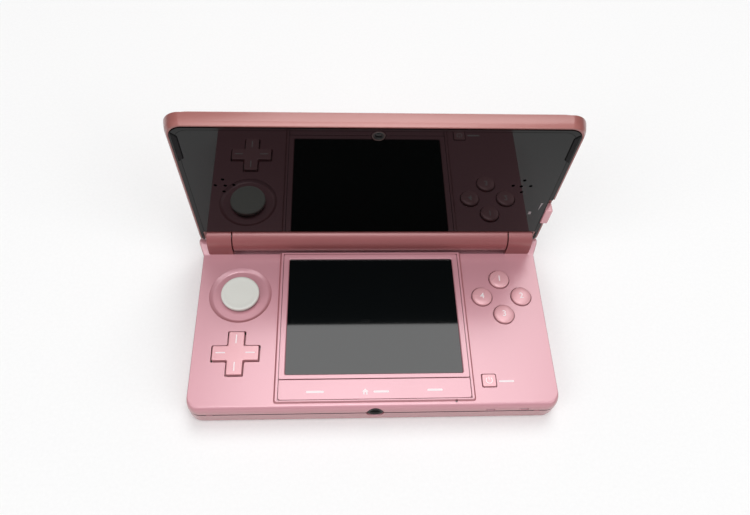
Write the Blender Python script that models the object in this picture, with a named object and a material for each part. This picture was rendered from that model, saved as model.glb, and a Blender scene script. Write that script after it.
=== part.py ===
"""Clamshell handheld game console, open at a right angle, as an assembly of separate pieces.

Frame: +X to the player's right, +Y to the back, +Z up, origin under the middle of the base.
The lid's pieces are built in the lid's own frame, with its origin on the hinge axis, +Z towards
the free edge and -Y out of the glass, and a parent empty tilts them into place.
"""
import math

import bmesh
import bpy
from mathutils import Euler, Matrix, Vector

MM = 0.001

# Clearances
FIT_GAP = 0.3 * MM
STACK_GAP = 0.2 * MM
OVERRUN = 2.0 * MM

# Base, as three shells that meet at two level seams
BASE_WIDTH = 129.2 * MM
BASE_FRONT = -36.8 * MM
BASE_BACK = 37.2 * MM
BOTTOM_SEAM = 2.05 * MM
PARTING = 7.1 * MM
DECK_TOP = 11.1 * MM
FRONT_RADIUS = 4.8 * MM
BACK_RADIUS = 4.0 * MM
SHELL_WALL = 1.3 * MM
FLOOR_WALL = 1.0 * MM
GROOVE_DEPTH = 0.25 * MM
GROOVE_HEIGHT = 0.4 * MM
DECK_FRONT_SLOPE = 1.9 * MM
DECK_SIDE_SLOPE = 0.7 * MM
BOTTOM_EDGE = 1.0 * MM

# Raised middle of the deck, with the frame of the touch screen and the menu strip let into it
PLATFORM_HEIGHT = 1.1 * MM
PLATFORM_MARGIN = 1.4 * MM
PLATFORM_BEVEL = 0.7 * MM
SIDE_WIDTH = 31.3 * MM
BEZEL_WIDTH = BASE_WIDTH - 2 * SIDE_WIDTH
BEZEL_SETBACK = 10.8 * MM
BEZEL_FRONT = BASE_FRONT + BEZEL_SETBACK
BEZEL_LIP = 0.45 * MM
TOUCH_BORDER = 2.1 * MM
TOUCH_WIDTH = BEZEL_WIDTH - 2 * TOUCH_BORDER
PANEL_OVERLAP = 0.9 * MM
PANEL_THICKNESS = 0.6 * MM
LCD_THICKNESS = 2.2 * MM
STRIP_DEPTH = 7.2 * MM
STRIP_THICKNESS = 1.3 * MM

# Hinge
HINGE_INSET = 6.3 * MM
HINGE_Y = BASE_BACK - HINGE_INSET
HINGE_Z = 15.2 * MM
BARREL_RADIUS = 5.6 * MM
BARREL_BORE = 3.3 * MM
KNUCKLE_INSET = 2.6 * MM
KNUCKLE_END = BASE_WIDTH / 2 - KNUCKLE_INSET
KNUCKLE_WIDTH = 9.1 * MM
BARREL_WIDTH = 2 * (KNUCKLE_END - KNUCKLE_WIDTH - FIT_GAP)
TROUGH_FLOOR = 9.0 * MM
TROUGH_FRONT = HINGE_Y - BARREL_RADIUS
BEZEL_GAP = 0.8 * MM
BEZEL_BACK = TROUGH_FRONT - BEZEL_GAP
TOUCH_NEAR_BORDER = 1.7 * MM
TOUCH_FAR_BORDER = 2.0 * MM
TOUCH_DEPTH = BEZEL_BACK - BEZEL_FRONT - TOUCH_NEAR_BORDER - TOUCH_FAR_BORDER
TOUCH_MIDDLE = BEZEL_FRONT + TOUCH_NEAR_BORDER + TOUCH_DEPTH / 2
FIN_REACH = 2.0 * MM
FIN_TOP = 12.7 * MM
CLUTCH_RADIUS = 2.9 * MM
CLUTCH_REACH = 8.0 * MM
SLEEVE_WALL = 0.8 * MM
CABLE_RADIUS = 1.4 * MM
LID_LEAN = math.radians(1.0)

# Controls on the deck
CONTROL_INSET = 15.7 * MM
CONTROL_X = BASE_WIDTH / 2 - CONTROL_INSET
PAD_SETBACK = 17.6 * MM
PAD_Y = TROUGH_FRONT - PAD_SETBACK
PAD_RADIUS = 7.0 * MM
PAD_THICKNESS = 1.5 * MM
PAD_DISH = 0.45 * MM
PAD_LIFT = 0.1 * MM
PAD_TRAVEL = 3.0 * MM
STEM_RADIUS = 2.0 * MM
DISH_RADIUS = 11.5 * MM
DISH_FLOOR_RADIUS = 9.9 * MM
DISH_DEPTH = 1.0 * MM
DISH_WALL = 0.8 * MM
SKIRT_RADIUS = 10.7 * MM
SKIRT_THICKNESS = 0.6 * MM
CARRIER_THICKNESS = 0.8 * MM
CARRIER_LENGTH = 13.0 * MM
TRAY_HALF = 10.9 * MM
TRAY_WALL = 0.7 * MM
CROSS_SETBACK = 20.9 * MM
CROSS_Y = BASE_FRONT + CROSS_SETBACK
CROSS_SPAN = 16.3 * MM
CROSS_ARM = 5.5 * MM
CROSS_PROUD = 1.0 * MM
CROSS_GAP = 0.5 * MM
CROSS_FLANGE_RADIUS = 8.6 * MM
CROSS_FLANGE_THICKNESS = 0.5 * MM
CROSS_LIFT_ROOM = 0.9 * MM
CROSS_BAR_LENGTH = 3.4 * MM
CROSS_BAR_WIDTH = 0.5 * MM
CROSS_BAR_PROUD = 0.1 * MM
PIVOT_RADIUS = 1.6 * MM
FACE_SETBACK = 19.2 * MM
FACE_Y = TROUGH_FRONT - FACE_SETBACK
FACE_OFFSET = 7.45 * MM
FACE_RADIUS = 3.75 * MM
FACE_PROUD = 1.0 * MM
FACE_FLANGE = 0.9 * MM
FACE_FLANGE_THICKNESS = 0.8 * MM
KEY_GAP = 0.3 * MM
POWER_SHIFT = 8.7 * MM
POWER_X = CONTROL_X - POWER_SHIFT
POWER_SETBACK = 9.7 * MM
POWER_Y = BASE_FRONT + POWER_SETBACK
POWER_WIDTH = 4.8 * MM
POWER_DEPTH = 4.5 * MM
POWER_PROUD = 0.4 * MM
MENU_KEY_X = BEZEL_WIDTH * 0.311
MENU_KEY_WIDTH = BEZEL_WIDTH * 0.15
MENU_KEY_DEPTH = 3.6 * MM
MENU_KEY_HEIGHT = 1.8 * MM

# Sides, front and back of the base
JACK_RADIUS = 2.9 * MM
JACK_BORE = 1.8 * MM
JACK_LENGTH = 12.0 * MM
JACK_BODY_WIDTH = 7.0 * MM
LAMP_LEFT = POWER_X
LAMP_SHIFT = 3.1 * MM
LAMP_RIGHT = CONTROL_X + LAMP_SHIFT
LAMP_WIDTH = 2.4 * MM
LAMP_HEIGHT = 0.7 * MM
LAMP_Z = 8.4 * MM
MIC_SHIFT = 12.2 * MM
MIC_X = POWER_X - MIC_SHIFT
MIC_SETBACK = 2.4 * MM
MIC_Y = BASE_FRONT + MIC_SETBACK
MIC_HOLE = 0.4 * MM
MIC_RADIUS = 2.0 * MM
MIC_HEIGHT = 1.3 * MM
SHOULDER_DEPTH = 9.0 * MM
SHOULDER_THICKNESS = 3.0 * MM
SHOULDER_BOTTOM = 2.7 * MM
SHOULDER_TOP = 8.0 * MM
SHOULDER_ROOM = 1.7 * MM
PIN_RADIUS = 0.8 * MM
SLIDER_Z = 4.6 * MM
SLIDER_HEIGHT = 1.6 * MM
SLIDER_PROUD = 0.8 * MM
VOLUME_Y = -24.0 * MM
VOLUME_LENGTH = 5.5 * MM
VOLUME_TRAVEL = 4.0 * MM
WIRELESS_Y = -24.0 * MM
WIRELESS_LENGTH = 3.5 * MM
WIRELESS_TRAVEL = 1.5 * MM
MEMORY_Y = 2.0 * MM
MEMORY_WIDTH = 25.0 * MM
MEMORY_BOTTOM = 3.0 * MM
MEMORY_HEIGHT = 2.9 * MM
GAME_CARD_WIDTH = 34.2 * MM
GAME_CARD_HEIGHT = 4.4 * MM
GAME_CARD_DEPTH = 33.0 * MM
GAME_CARD_BOTTOM = 1.3 * MM
STYLUS_X = -26.0 * MM
STYLUS_Z = 4.15 * MM
STYLUS_RADIUS = 1.6 * MM
STYLUS_END_ROOM = 12.0 * MM
STYLUS_LENGTH = BASE_BACK - BASE_FRONT - STYLUS_END_ROOM
STYLUS_TIP_LENGTH = 9.0 * MM
PORT_X = 29.0 * MM
PORT_WIDTH = 9.0 * MM
PORT_HEIGHT = 3.4 * MM
PORT_DEPTH = 8.0 * MM
PORT_BOTTOM = 2.8 * MM
IR_X = 37.2 * MM
IR_WIDTH = 4.0 * MM
IR_HEIGHT = 2.4 * MM
SHOULDER_GAP = 1.4 * MM
SHOULDER_WIDTH = BASE_WIDTH / 2 - IR_X - IR_WIDTH / 2 - SHOULDER_GAP
MEMORY_GAP = 7.0 * MM
MEMORY_DEPTH = BASE_WIDTH / 2 + STYLUS_X - STYLUS_RADIUS - MEMORY_GAP

# Inside the base
PLATE_BOTTOM = 5.3 * MM
PLATE_THICKNESS = 0.6 * MM
BOARD_THICKNESS = 0.8 * MM
BATTERY_DEPTH = 26.0 * MM
BATTERY_GAP = 3.9 * MM
BATTERY_LEFT = STYLUS_X + STYLUS_RADIUS + BATTERY_GAP
BATTERY_SHIFT = 15.4 * MM
BATTERY_RIGHT = CONTROL_X - BATTERY_SHIFT
BATTERY_Y = -10.5 * MM
MEMBRANE_THICKNESS = 0.3 * MM
SCREW_RADIUS = 0.9 * MM
SCREW_HEAD_RADIUS = 1.8 * MM
SCREW_HEAD_HEIGHT = 0.6 * MM

# Lid, in its own frame
LID_OVERHANG = 2.4 * MM
LID_WIDTH = BASE_WIDTH + 2 * LID_OVERHANG
LID_REACH = 65.7 * MM
GLASS_FRONT = -2.2 * MM
LID_BACK = 5.8 * MM
RIM_BACK = 2.8 * MM
LID_TIP = 1.5 * MM
LID_TIP_RISE = 2.6 * MM
LID_FOOT = 6.0 * MM
LID_CORNER = 6.0 * MM
COVER_INSET = 3.0 * MM
COVER_DROP = 6.5 * MM
RIM_INSET = 2.4 * MM
RIM_DROP = 0.8 * MM
TIP_CORNER = 0.8 * MM
LID_EAR_X = KNUCKLE_END + FIT_GAP
FRAME_INSET = 3.1 * MM
FRAME_WIDTH = LID_WIDTH - 2 * FRAME_INSET
FRAME_DROP = 1.5 * MM
FRAME_REACH = LID_REACH - FRAME_DROP
FRAME_DEPTH = 1.9 * MM
RIM_LINE = 0.5 * MM
WINDOW_BORDER = 1.5 * MM
WINDOW_THICKNESS = 0.8 * MM
TOP_LCD_WIDTH = 84.0 * MM
TOP_LCD_LOW = 12.2 * MM
TOP_LCD_BORDER = 7.5 * MM
TOP_LCD_HEIGHT = LID_REACH - TOP_LCD_LOW - TOP_LCD_BORDER
TOP_LCD_MIDDLE = TOP_LCD_LOW + TOP_LCD_HEIGHT / 2
TOP_LCD_THICKNESS = 2.2 * MM
SPEAKER_ROOM = (FRAME_WIDTH - TOP_LCD_WIDTH) / 2 - WINDOW_BORDER - 2 * SHELL_WALL
SPEAKER_X = TOP_LCD_WIDTH / 2 + SPEAKER_ROOM * 0.483
SPEAKER_LIFT = 0.4 * MM
SPEAKER_Z = TOP_LCD_MIDDLE + SPEAKER_LIFT
SPEAKER_HOLE = 0.6 * MM
SPEAKER_SPREAD = SPEAKER_ROOM * 0.18
SPEAKER_WIDTH = SPEAKER_ROOM * 0.73
SPEAKER_HEIGHT = 18.0 * MM
SPEAKER_THICKNESS = 2.6 * MM
INNER_CAMERA_DROP = 4.7 * MM
INNER_CAMERA_Z = LID_REACH - INNER_CAMERA_DROP
INNER_CAMERA_RADIUS = 2.1 * MM
INNER_CAMERA_DEPTH = 3.0 * MM
OUTER_CAMERA_X = 17.5 * MM
OUTER_CAMERA_DROP = 6.2 * MM
OUTER_CAMERA_Z = LID_REACH - OUTER_CAMERA_DROP
OUTER_CAMERA_RADIUS = 3.2 * MM
OUTER_CAMERA_DEPTH = 1.6 * MM
OUTER_CAMERA_PROUD = 0.2 * MM
CAMERA_BOARD_HEIGHT = 5.0 * MM
DEPTH_NOTCH_LOW = 12.5 * MM
DEPTH_KNOB_LENGTH = 8.2 * MM
DEPTH_TRAVEL = 6.6 * MM
DEPTH_NOTCH_HIGH = DEPTH_NOTCH_LOW + DEPTH_KNOB_LENGTH + DEPTH_TRAVEL
DEPTH_NOTCH_INSET = 4.3 * MM
DEPTH_NOTCH_X = LID_WIDTH / 2 - DEPTH_NOTCH_INSET
DEPTH_NOTCH_BACK = 1.6 * MM
DEPTH_KNOB_PROUD = 0.3 * MM
BUMPER_LENGTH = 13.5 * MM
BUMPER_DROP = 3.7 * MM
BUMPER_HIGH = LID_REACH - BUMPER_DROP
BUMPER_LOW = BUMPER_HIGH - BUMPER_LENGTH
BUMPER_WIDTH = 1.7 * MM
BUMPER_PROUD = 0.3 * MM
BUMPER_CUT = 1.6 * MM

# Steps of round shapes
CORNER_STEPS = 4
ROUND_STEPS = 28
SMALL_STEPS = 14

# Places that follow from the sizes above
HALF_BASE = BASE_WIDTH / 2
PLATFORM_TOP = DECK_TOP + PLATFORM_HEIGHT
DECK_UNDER = DECK_TOP - SHELL_WALL
DECK_BOTTOM = PARTING + FIT_GAP / 2
MID_TOP = PARTING - FIT_GAP / 2
MID_BOTTOM = BOTTOM_SEAM + FIT_GAP / 2
TRAY_TOP = BOTTOM_SEAM - FIT_GAP / 2
PLATE_TOP = PLATE_BOTTOM + PLATE_THICKNESS
BOARD_BOTTOM = PLATE_TOP + FIT_GAP
BOARD_TOP = BOARD_BOTTOM + BOARD_THICKNESS
RECESS_HALF = BEZEL_WIDTH / 2 + STACK_GAP
RECESS_BACK = BEZEL_BACK + STACK_GAP
STRIP_BACK = BEZEL_FRONT - FIT_GAP
STRIP_FRONT = STRIP_BACK - STRIP_DEPTH
RECESS_FRONT = STRIP_FRONT - STACK_GAP
LEDGE_TOP = PLATFORM_TOP - STRIP_THICKNESS - STACK_GAP
PANEL_TOP = PLATFORM_TOP - BEZEL_LIP - STACK_GAP
PANEL_BOTTOM = PANEL_TOP - PANEL_THICKNESS
LCD_TOP = PANEL_BOTTOM - STACK_GAP
LCD_BOTTOM = LCD_TOP - LCD_THICKNESS
HALF_BARREL = BARREL_WIDTH / 2
KNUCKLE_START = HALF_BARREL + FIT_GAP
DISH_FLOOR = DECK_TOP - DISH_DEPTH
SKIRT_TOP = DISH_FLOOR - DISH_WALL - FIT_GAP
SKIRT_BOTTOM = SKIRT_TOP - SKIRT_THICKNESS
STEM_HOLE_RADIUS = STEM_RADIUS + PAD_TRAVEL * math.sqrt(2) + STACK_GAP
CARRIER_TOP = SKIRT_BOTTOM - FIT_GAP
CARRIER_BOTTOM = CARRIER_TOP - CARRIER_THICKNESS
CROSS_FLANGE_TOP = DECK_UNDER - CROSS_LIFT_ROOM
CROSS_FLANGE_BOTTOM = CROSS_FLANGE_TOP - CROSS_FLANGE_THICKNESS
FACE_FLANGE_TOP = DECK_UNDER - FIT_GAP
MEMBRANE_BOTTOM = BOARD_TOP + STACK_GAP
HALF_FRAME = FRAME_WIDTH / 2
LID_DEPTH_FRONT = GLASS_FRONT + FIT_GAP
COVER_FRONT = RIM_BACK + FIT_GAP
BARREL_KEEPOUT = LID_FOOT + RIM_LINE
MEMORY_TOP = MEMORY_BOTTOM + MEMORY_HEIGHT
LAMP_X = (LAMP_LEFT, LAMP_RIGHT)


def clear_scene():
    """Remove whatever the file holds before the model is made."""
    for item in list(bpy.data.objects):
        bpy.data.objects.remove(item, do_unlink=True)


def box(left, right, front, back, bottom, top):
    """Return a block between six planes."""
    shape = bmesh.new()
    bmesh.ops.create_cube(shape, size=1)
    spans = Vector((right - left, back - front, top - bottom))
    middle = Vector((left + right, front + back, bottom + top)) / 2
    bmesh.ops.scale(shape, vec=spans, verts=shape.verts)
    bmesh.ops.translate(shape, vec=middle, verts=shape.verts)
    return shape


def rounded_outline(left, right, low, high, low_radius, high_radius, steps=CORNER_STEPS):
    """Return the points of a rounded rectangle, anticlockwise from its low left corner."""
    corners = (
        (left + low_radius, low + low_radius, low_radius, 180),
        (right - low_radius, low + low_radius, low_radius, 270),
        (right - high_radius, high - high_radius, high_radius, 0),
        (left + high_radius, high - high_radius, high_radius, 90),
    )
    points = []
    for centre_x, centre_y, radius, start in corners:
        for step in range(steps + 1):
            angle = math.radians(start + 90 * step / steps)
            points.append((centre_x + radius * math.cos(angle), centre_y + radius * math.sin(angle)))
    return points


def circle(radius, steps, centre=(0, 0)):
    """Return the points of a circle."""
    turn = 2 * math.pi / steps
    return [(centre[0] + radius * math.cos(turn * i), centre[1] + radius * math.sin(turn * i))
            for i in range(steps)]


def loft(rings):
    """Return the closed solid through rings of points that have equal counts."""
    shape = bmesh.new()
    rows = [[shape.verts.new(point) for point in ring] for ring in rings]
    shape.faces.new(rows[0][::-1])
    for low, high in zip(rows, rows[1:]):
        for i in range(len(low)):
            j = (i + 1) % len(low)
            shape.faces.new((low[i], low[j], high[j], high[i]))
    shape.faces.new(rows[-1])
    bmesh.ops.recalc_face_normals(shape, faces=shape.faces)
    return shape


def stack(layers):
    """Return a solid through flat outlines, each given with its height."""
    return loft([[(x, y, height) for x, y in outline] for outline, height in layers])


def prism(outline, bottom, top):
    """Return an outline carried straight up."""
    return stack([(outline, bottom), (outline, top)])


def plate_xz(layers):
    """Return a solid through outlines in the X-Z plane, each given with its depth."""
    return loft([[(x, depth, z) for x, z in outline] for outline, depth in layers])


def rod(radius, start, end, axis, steps=SMALL_STEPS, centre=(0, 0)):
    """Return a round bar along X, Y or Z, with the other two coordinates of its middle."""
    points = circle(radius, steps, centre)
    if axis == "X":
        return loft([[(run, u, v) for u, v in points] for run in (start, end)])
    if axis == "Y":
        return loft([[(u, run, v) for u, v in points] for run in (start, end)])
    return stack([(points, start), (points, end)])


def turned(profile, steps=ROUND_STEPS, centre=(0, 0)):
    """Return a solid of revolution about Z through (radius, height) pairs."""
    return stack([(circle(radius, steps, centre), height) for radius, height in profile])


def mirrored(shape):
    """Return a copy of a shape mirrored across the middle plane X = 0."""
    twin = shape.copy()
    bmesh.ops.scale(twin, vec=Vector((-1, 1, 1)), verts=twin.verts)
    bmesh.ops.reverse_faces(twin, faces=twin.faces)
    return twin


def both_sides(shapes):
    """Return the shapes and their mirrored copies."""
    return list(shapes) + [mirrored(shape) for shape in shapes]


def mesh_object(name, shape):
    """Link a new object that holds the shape."""
    mesh = bpy.data.meshes.new(name)
    shape.to_mesh(mesh)
    shape.free()
    item = bpy.data.objects.new(name, mesh)
    bpy.context.collection.objects.link(item)
    return item


def combine(item, operation, shapes):
    """Cut shapes out of an object, or join them to it, and keep the result as its mesh."""
    helpers = []
    for number, shape in enumerate(shapes):
        helper = mesh_object(f"{item.name}_helper_{number}", shape)
        helper.hide_render = True
        helper.display_type = "WIRE"
        modifier = item.modifiers.new(helper.name, "BOOLEAN")
        modifier.operation = operation
        modifier.object = helper
        helpers.append(helper)
    graph = bpy.context.evaluated_depsgraph_get()
    mesh = bpy.data.meshes.new_from_object(item.evaluated_get(graph))
    item.modifiers.clear()
    item.data = mesh
    for helper in helpers:
        bpy.data.objects.remove(helper, do_unlink=True)


def piece(name, shape, colour, roughness=0.4, metallic=0.0, cuts=(), joins=(), parent=None, at=(0, 0, 0)):
    """Make one sub-part with its own material and hang it on its parent."""
    item = mesh_object(name, shape)
    if joins:
        combine(item, "UNION", joins)
    if cuts:
        combine(item, "DIFFERENCE", cuts)
    item.data.name = name
    material = bpy.data.materials.new(f"{name}_finish")
    material.use_nodes = True
    shader = material.node_tree.nodes["Principled BSDF"]
    shader.inputs["Base Color"].default_value = (*colour, 1)
    shader.inputs["Roughness"].default_value = roughness
    shader.inputs["Metallic"].default_value = metallic
    item.data.materials.clear()
    item.data.materials.append(material)
    item.data.shade_smooth()
    item.data.set_sharp_from_angle(angle=math.radians(35))
    item.location = at
    item.parent = parent
    return item


def joint_frame(name, at, parent=None, lean=0.0):
    """Return an empty that stands on a joint's axis."""
    frame = bpy.data.objects.new(name, None)
    frame.location = at
    frame.rotation_euler = Euler((lean, 0, 0))
    frame.parent = parent
    bpy.context.collection.objects.link(frame)
    return frame


# Colours, linear
PINK = (0.62, 0.23, 0.27)
PINK_LIGHT = (0.70, 0.30, 0.34)
GREY_WHITE = (0.61, 0.62, 0.58)
BLACK = (0.012, 0.012, 0.013)
SCREEN = (0.02, 0.022, 0.024)
METAL = (0.55, 0.55, 0.56)
BOARD_GREEN = (0.03, 0.16, 0.08)
RUBBER_GREY = (0.35, 0.35, 0.36)
CLEAR_GREY = (0.5, 0.52, 0.55)


def base_outline(side_inset, front_inset, steps=CORNER_STEPS):
    """Return the base's plan, drawn in from the widest line."""
    half = HALF_BASE - side_inset
    return rounded_outline(-half, half, BASE_FRONT + front_inset, BASE_BACK - side_inset,
                           FRONT_RADIUS - min(side_inset, FRONT_RADIUS / 2),
                           BACK_RADIUS - min(side_inset, BACK_RADIUS / 2), steps)


def shoulder_shape(room, bottom, top):
    """Return the right shoulder button's plan carried up, grown by a gap all round."""
    outer = base_outline(-room if room else 0.0, 0.0)
    back_corner = outer[2 * (CORNER_STEPS + 1):3 * (CORNER_STEPS + 1)]
    inner_end = HALF_BASE - SHOULDER_WIDTH - room
    front_end = BASE_BACK - SHOULDER_DEPTH - (SHOULDER_ROOM if room else 0.0)
    wall = SHOULDER_THICKNESS + (SHOULDER_ROOM if room else 0.0)
    half = HALF_BASE + room
    back = BASE_BACK + room
    inner_radius = BACK_RADIUS / 2
    points = [(half - wall, front_end), (half, front_end)] + back_corner
    points += [(inner_end, back), (inner_end, BASE_BACK - wall)]
    points += [(half - wall - inner_radius, BASE_BACK - wall), (half - wall, BASE_BACK - wall - inner_radius)]
    return prism(points, bottom, top)


SHOULDER_PIN_X = HALF_BASE - SHOULDER_WIDTH + SHOULDER_THICKNESS / 2
SHOULDER_PIN_Y = BASE_BACK - SHOULDER_THICKNESS / 2


def shoulder_cuts():
    """Return the two corner spaces for the shoulder buttons."""
    return both_sides([shoulder_shape(FIT_GAP, SHOULDER_BOTTOM - FIT_GAP, SHOULDER_TOP + FIT_GAP)])


def memory_door_span():
    """Return the memory card cover's low and high Y."""
    return MEMORY_Y - MEMORY_WIDTH / 2, MEMORY_Y + MEMORY_WIDTH / 2


def wall_cuts():
    """Return the openings through the low shell's walls."""
    door_low, door_high = memory_door_span()
    outside = HALF_BASE + OVERRUN
    wall_inner = HALF_BASE - SHELL_WALL - OVERRUN
    volume_half = VOLUME_LENGTH / 2 + VOLUME_TRAVEL + STACK_GAP
    wireless_half = WIRELESS_LENGTH / 2 + WIRELESS_TRAVEL + STACK_GAP
    slot_low = SLIDER_Z - SLIDER_HEIGHT / 2 - STACK_GAP
    slot_high = SLIDER_Z + SLIDER_HEIGHT / 2 + STACK_GAP
    half_card = GAME_CARD_WIDTH / 2
    back_out = BASE_BACK + OVERRUN
    back_in = BASE_BACK - SHELL_WALL - OVERRUN
    return [
        box(-outside, -wall_inner, door_low - FIT_GAP, door_high + FIT_GAP, MEMORY_BOTTOM - FIT_GAP,
            MEMORY_TOP + FIT_GAP),
        box(-outside, -wall_inner, VOLUME_Y - volume_half, VOLUME_Y + volume_half, slot_low, slot_high),
        box(wall_inner, outside, WIRELESS_Y - wireless_half, WIRELESS_Y + wireless_half, slot_low, slot_high),
        box(-half_card, half_card, back_in, back_out, GAME_CARD_BOTTOM, GAME_CARD_BOTTOM + GAME_CARD_HEIGHT),
        rod(STYLUS_RADIUS + STACK_GAP, back_in, back_out, "Y", SMALL_STEPS, (STYLUS_X, STYLUS_Z)),
        box(PORT_X - PORT_WIDTH / 2 - STACK_GAP, PORT_X + PORT_WIDTH / 2 + STACK_GAP, back_in, back_out,
            PORT_BOTTOM - STACK_GAP, PORT_BOTTOM + PORT_HEIGHT + STACK_GAP),
        box(IR_X - IR_WIDTH / 2 - STACK_GAP, IR_X + IR_WIDTH / 2 + STACK_GAP, back_in, back_out,
            SLIDER_Z - IR_HEIGHT / 2 - STACK_GAP, SLIDER_Z + IR_HEIGHT / 2 + STACK_GAP),
        rod(JACK_RADIUS + STACK_GAP, BASE_FRONT - OVERRUN, BASE_FRONT + SHELL_WALL + OVERRUN, "Y",
            SMALL_STEPS, (0, PARTING)),
    ]


def make_bottom_cover():
    """Make the plate under the base, with its low rim and its screw holes."""
    shape = stack([(base_outline(BOTTOM_EDGE, BOTTOM_EDGE), 0),
                   (base_outline(BOTTOM_EDGE / 3, BOTTOM_EDGE / 2), BOTTOM_EDGE / 3),
                   (base_outline(GROOVE_DEPTH / 2, FIT_GAP), FLOOR_WALL),
                   (base_outline(GROOVE_DEPTH / 2, FIT_GAP), TRAY_TOP)])
    cavity = prism(base_outline(SHELL_WALL, SHELL_WALL), FLOOR_WALL, PARTING)
    card = box(-GAME_CARD_WIDTH / 2, GAME_CARD_WIDTH / 2, BASE_BACK - SHELL_WALL - OVERRUN,
               BASE_BACK + OVERRUN, GAME_CARD_BOTTOM, PARTING)
    holes = [rod(SCREW_RADIUS + STACK_GAP, -OVERRUN, FLOOR_WALL + OVERRUN, "Z", SMALL_STEPS, place)
             for place in cover_screw_places()]
    piece("bottom_cover", shape, PINK, 0.35, 0.3, cuts=[cavity, card] + holes)


def cover_screw_places():
    """Return the places of the two screws of the bottom cover."""
    side = HALF_BASE - SHELL_WALL - 6 * SCREW_HEAD_RADIUS
    return ((-side, BASE_FRONT + 8 * SCREW_HEAD_RADIUS), (side, BASE_FRONT + 8 * SCREW_HEAD_RADIUS))


def make_screws():
    """Make the two screws that hold the bottom cover."""
    head_bottom = FLOOR_WALL + STACK_GAP
    head_top = head_bottom + SCREW_HEAD_HEIGHT
    for name, place in zip(("left", "right"), cover_screw_places()):
        head = circle(SCREW_HEAD_RADIUS, SMALL_STEPS)
        shank = circle(SCREW_RADIUS, SMALL_STEPS)
        screw = stack([(head, head_bottom), (head, head_top), (shank, head_top + STACK_GAP / 2),
                       (shank, PLATE_BOTTOM - FIT_GAP)])
        piece(f"cover_screw_{name}", screw, METAL, 0.3, 1.0, at=(*place, 0))


def make_mid_housing():
    """Make the low shell: its wall and the plate that carries the mainboard."""
    shape = stack([(base_outline(GROOVE_DEPTH / 2, FIT_GAP), MID_BOTTOM),
                   (base_outline(0, 0), MID_BOTTOM + GROOVE_HEIGHT),
                   (base_outline(0, 0), MID_TOP - GROOVE_HEIGHT),
                   (base_outline(GROOVE_DEPTH, GROOVE_DEPTH), MID_TOP)])
    inner = base_outline(SHELL_WALL, SHELL_WALL)
    below = prism(inner, 0, PLATE_BOTTOM)
    above = prism(inner, PLATE_TOP, DECK_TOP)
    door_low, door_high = memory_door_span()
    memory = box(-HALF_BASE + SHELL_WALL, -HALF_BASE + SHELL_WALL + MEMORY_DEPTH + OVERRUN,
                 door_low - OVERRUN, door_high + OVERRUN, 0, DECK_TOP)
    card = box(-GAME_CARD_WIDTH / 2 - OVERRUN, GAME_CARD_WIDTH / 2 + OVERRUN,
               BASE_BACK - SHELL_WALL - GAME_CARD_DEPTH, BASE_BACK - SHELL_WALL, 0, DECK_TOP)
    stylus = rod(STYLUS_RADIUS + STACK_GAP, BASE_BACK - SHELL_WALL - STYLUS_LENGTH, BASE_BACK, "Y",
                 SMALL_STEPS, (STYLUS_X, STYLUS_Z))
    jack = box(-JACK_BODY_WIDTH / 2 - FIT_GAP, JACK_BODY_WIDTH / 2 + FIT_GAP, BASE_FRONT + SHELL_WALL,
               BASE_FRONT + JACK_LENGTH + FIT_GAP, PLATE_BOTTOM - OVERRUN, DECK_TOP)
    port = box(PORT_X - PORT_WIDTH / 2 - FIT_GAP, PORT_X + PORT_WIDTH / 2 + FIT_GAP,
               BASE_BACK - PORT_DEPTH - FIT_GAP, BASE_BACK - SHELL_WALL, 0, DECK_TOP)
    infrared = box(IR_X - IR_WIDTH / 2 - FIT_GAP, IR_X + IR_WIDTH / 2 + FIT_GAP,
                   BASE_BACK - OVERRUN - FIT_GAP, BASE_BACK - SHELL_WALL, 0, DECK_TOP)
    cuts = [below, above, memory, card, stylus, jack, port, infrared] + wall_cuts() + shoulder_cuts()
    piece("mid_housing", shape, PINK, 0.35, 0.3, cuts=cuts)


def deck_rings():
    """Return the layers of the deck's rounded edge."""
    steps = 5
    low = DECK_BOTTOM + GROOVE_HEIGHT
    layers = [(base_outline(GROOVE_DEPTH, GROOVE_DEPTH), DECK_BOTTOM)]
    for step in range(steps + 1):
        share = step / steps
        height = math.sin(share * math.pi / 2)
        drop = 1 - math.cos(share * math.pi / 2)
        layers.append((base_outline(DECK_SIDE_SLOPE * drop, DECK_FRONT_SLOPE * drop),
                       low + (DECK_TOP - low) * height))
    return layers


def knuckle():
    """Return the right knuckle: an arch in profile, carried along X."""
    steps = ROUND_STEPS // 2
    foot = TROUGH_FLOOR - FIT_GAP
    points = [(HINGE_Y - BARREL_RADIUS, foot)]
    for step in range(steps + 1):
        angle = math.pi - math.pi * step / steps
        points.append((HINGE_Y + BARREL_RADIUS * math.cos(angle), HINGE_Z + BARREL_RADIUS * math.sin(angle)))
    points.append((HINGE_Y + BARREL_RADIUS, foot))
    rows = []
    for run in (KNUCKLE_START, KNUCKLE_END):
        rows.append([(run, y, z) for y, z in points])
    return loft(rows)


def fin():
    """Return the right fin, which flares from the deck's edge out to the lid's width."""
    back = HINGE_Y + BARREL_RADIUS
    front = TROUGH_FRONT - FIN_REACH / 3
    shares = ((0.0, 0.0, 0.0), (0.26, 0.55, 0.6), (0.50, 1.0, 1.0), (0.70, 0.85, 0.2), (1.0, -0.5, -0.75))
    rows = []
    for run_share, reach_share, rise_share in shares:
        y = front + (back - front) * run_share
        outer = HALF_BASE - DECK_SIDE_SLOPE / 2 + FIN_REACH * reach_share
        top = DECK_TOP + (FIN_TOP - DECK_TOP) * rise_share
        foot = DECK_BOTTOM + GROOVE_HEIGHT
        low_outer = min(outer, HALF_BASE - GROOVE_DEPTH)
        inner = KNUCKLE_END - FIT_GAP
        rows.append([(inner, y, foot), (low_outer, y, foot), (outer, y, top - DISH_WALL),
                     (outer - GROOVE_DEPTH, y, top), (inner, y, top)])
    return loft(rows)


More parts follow.
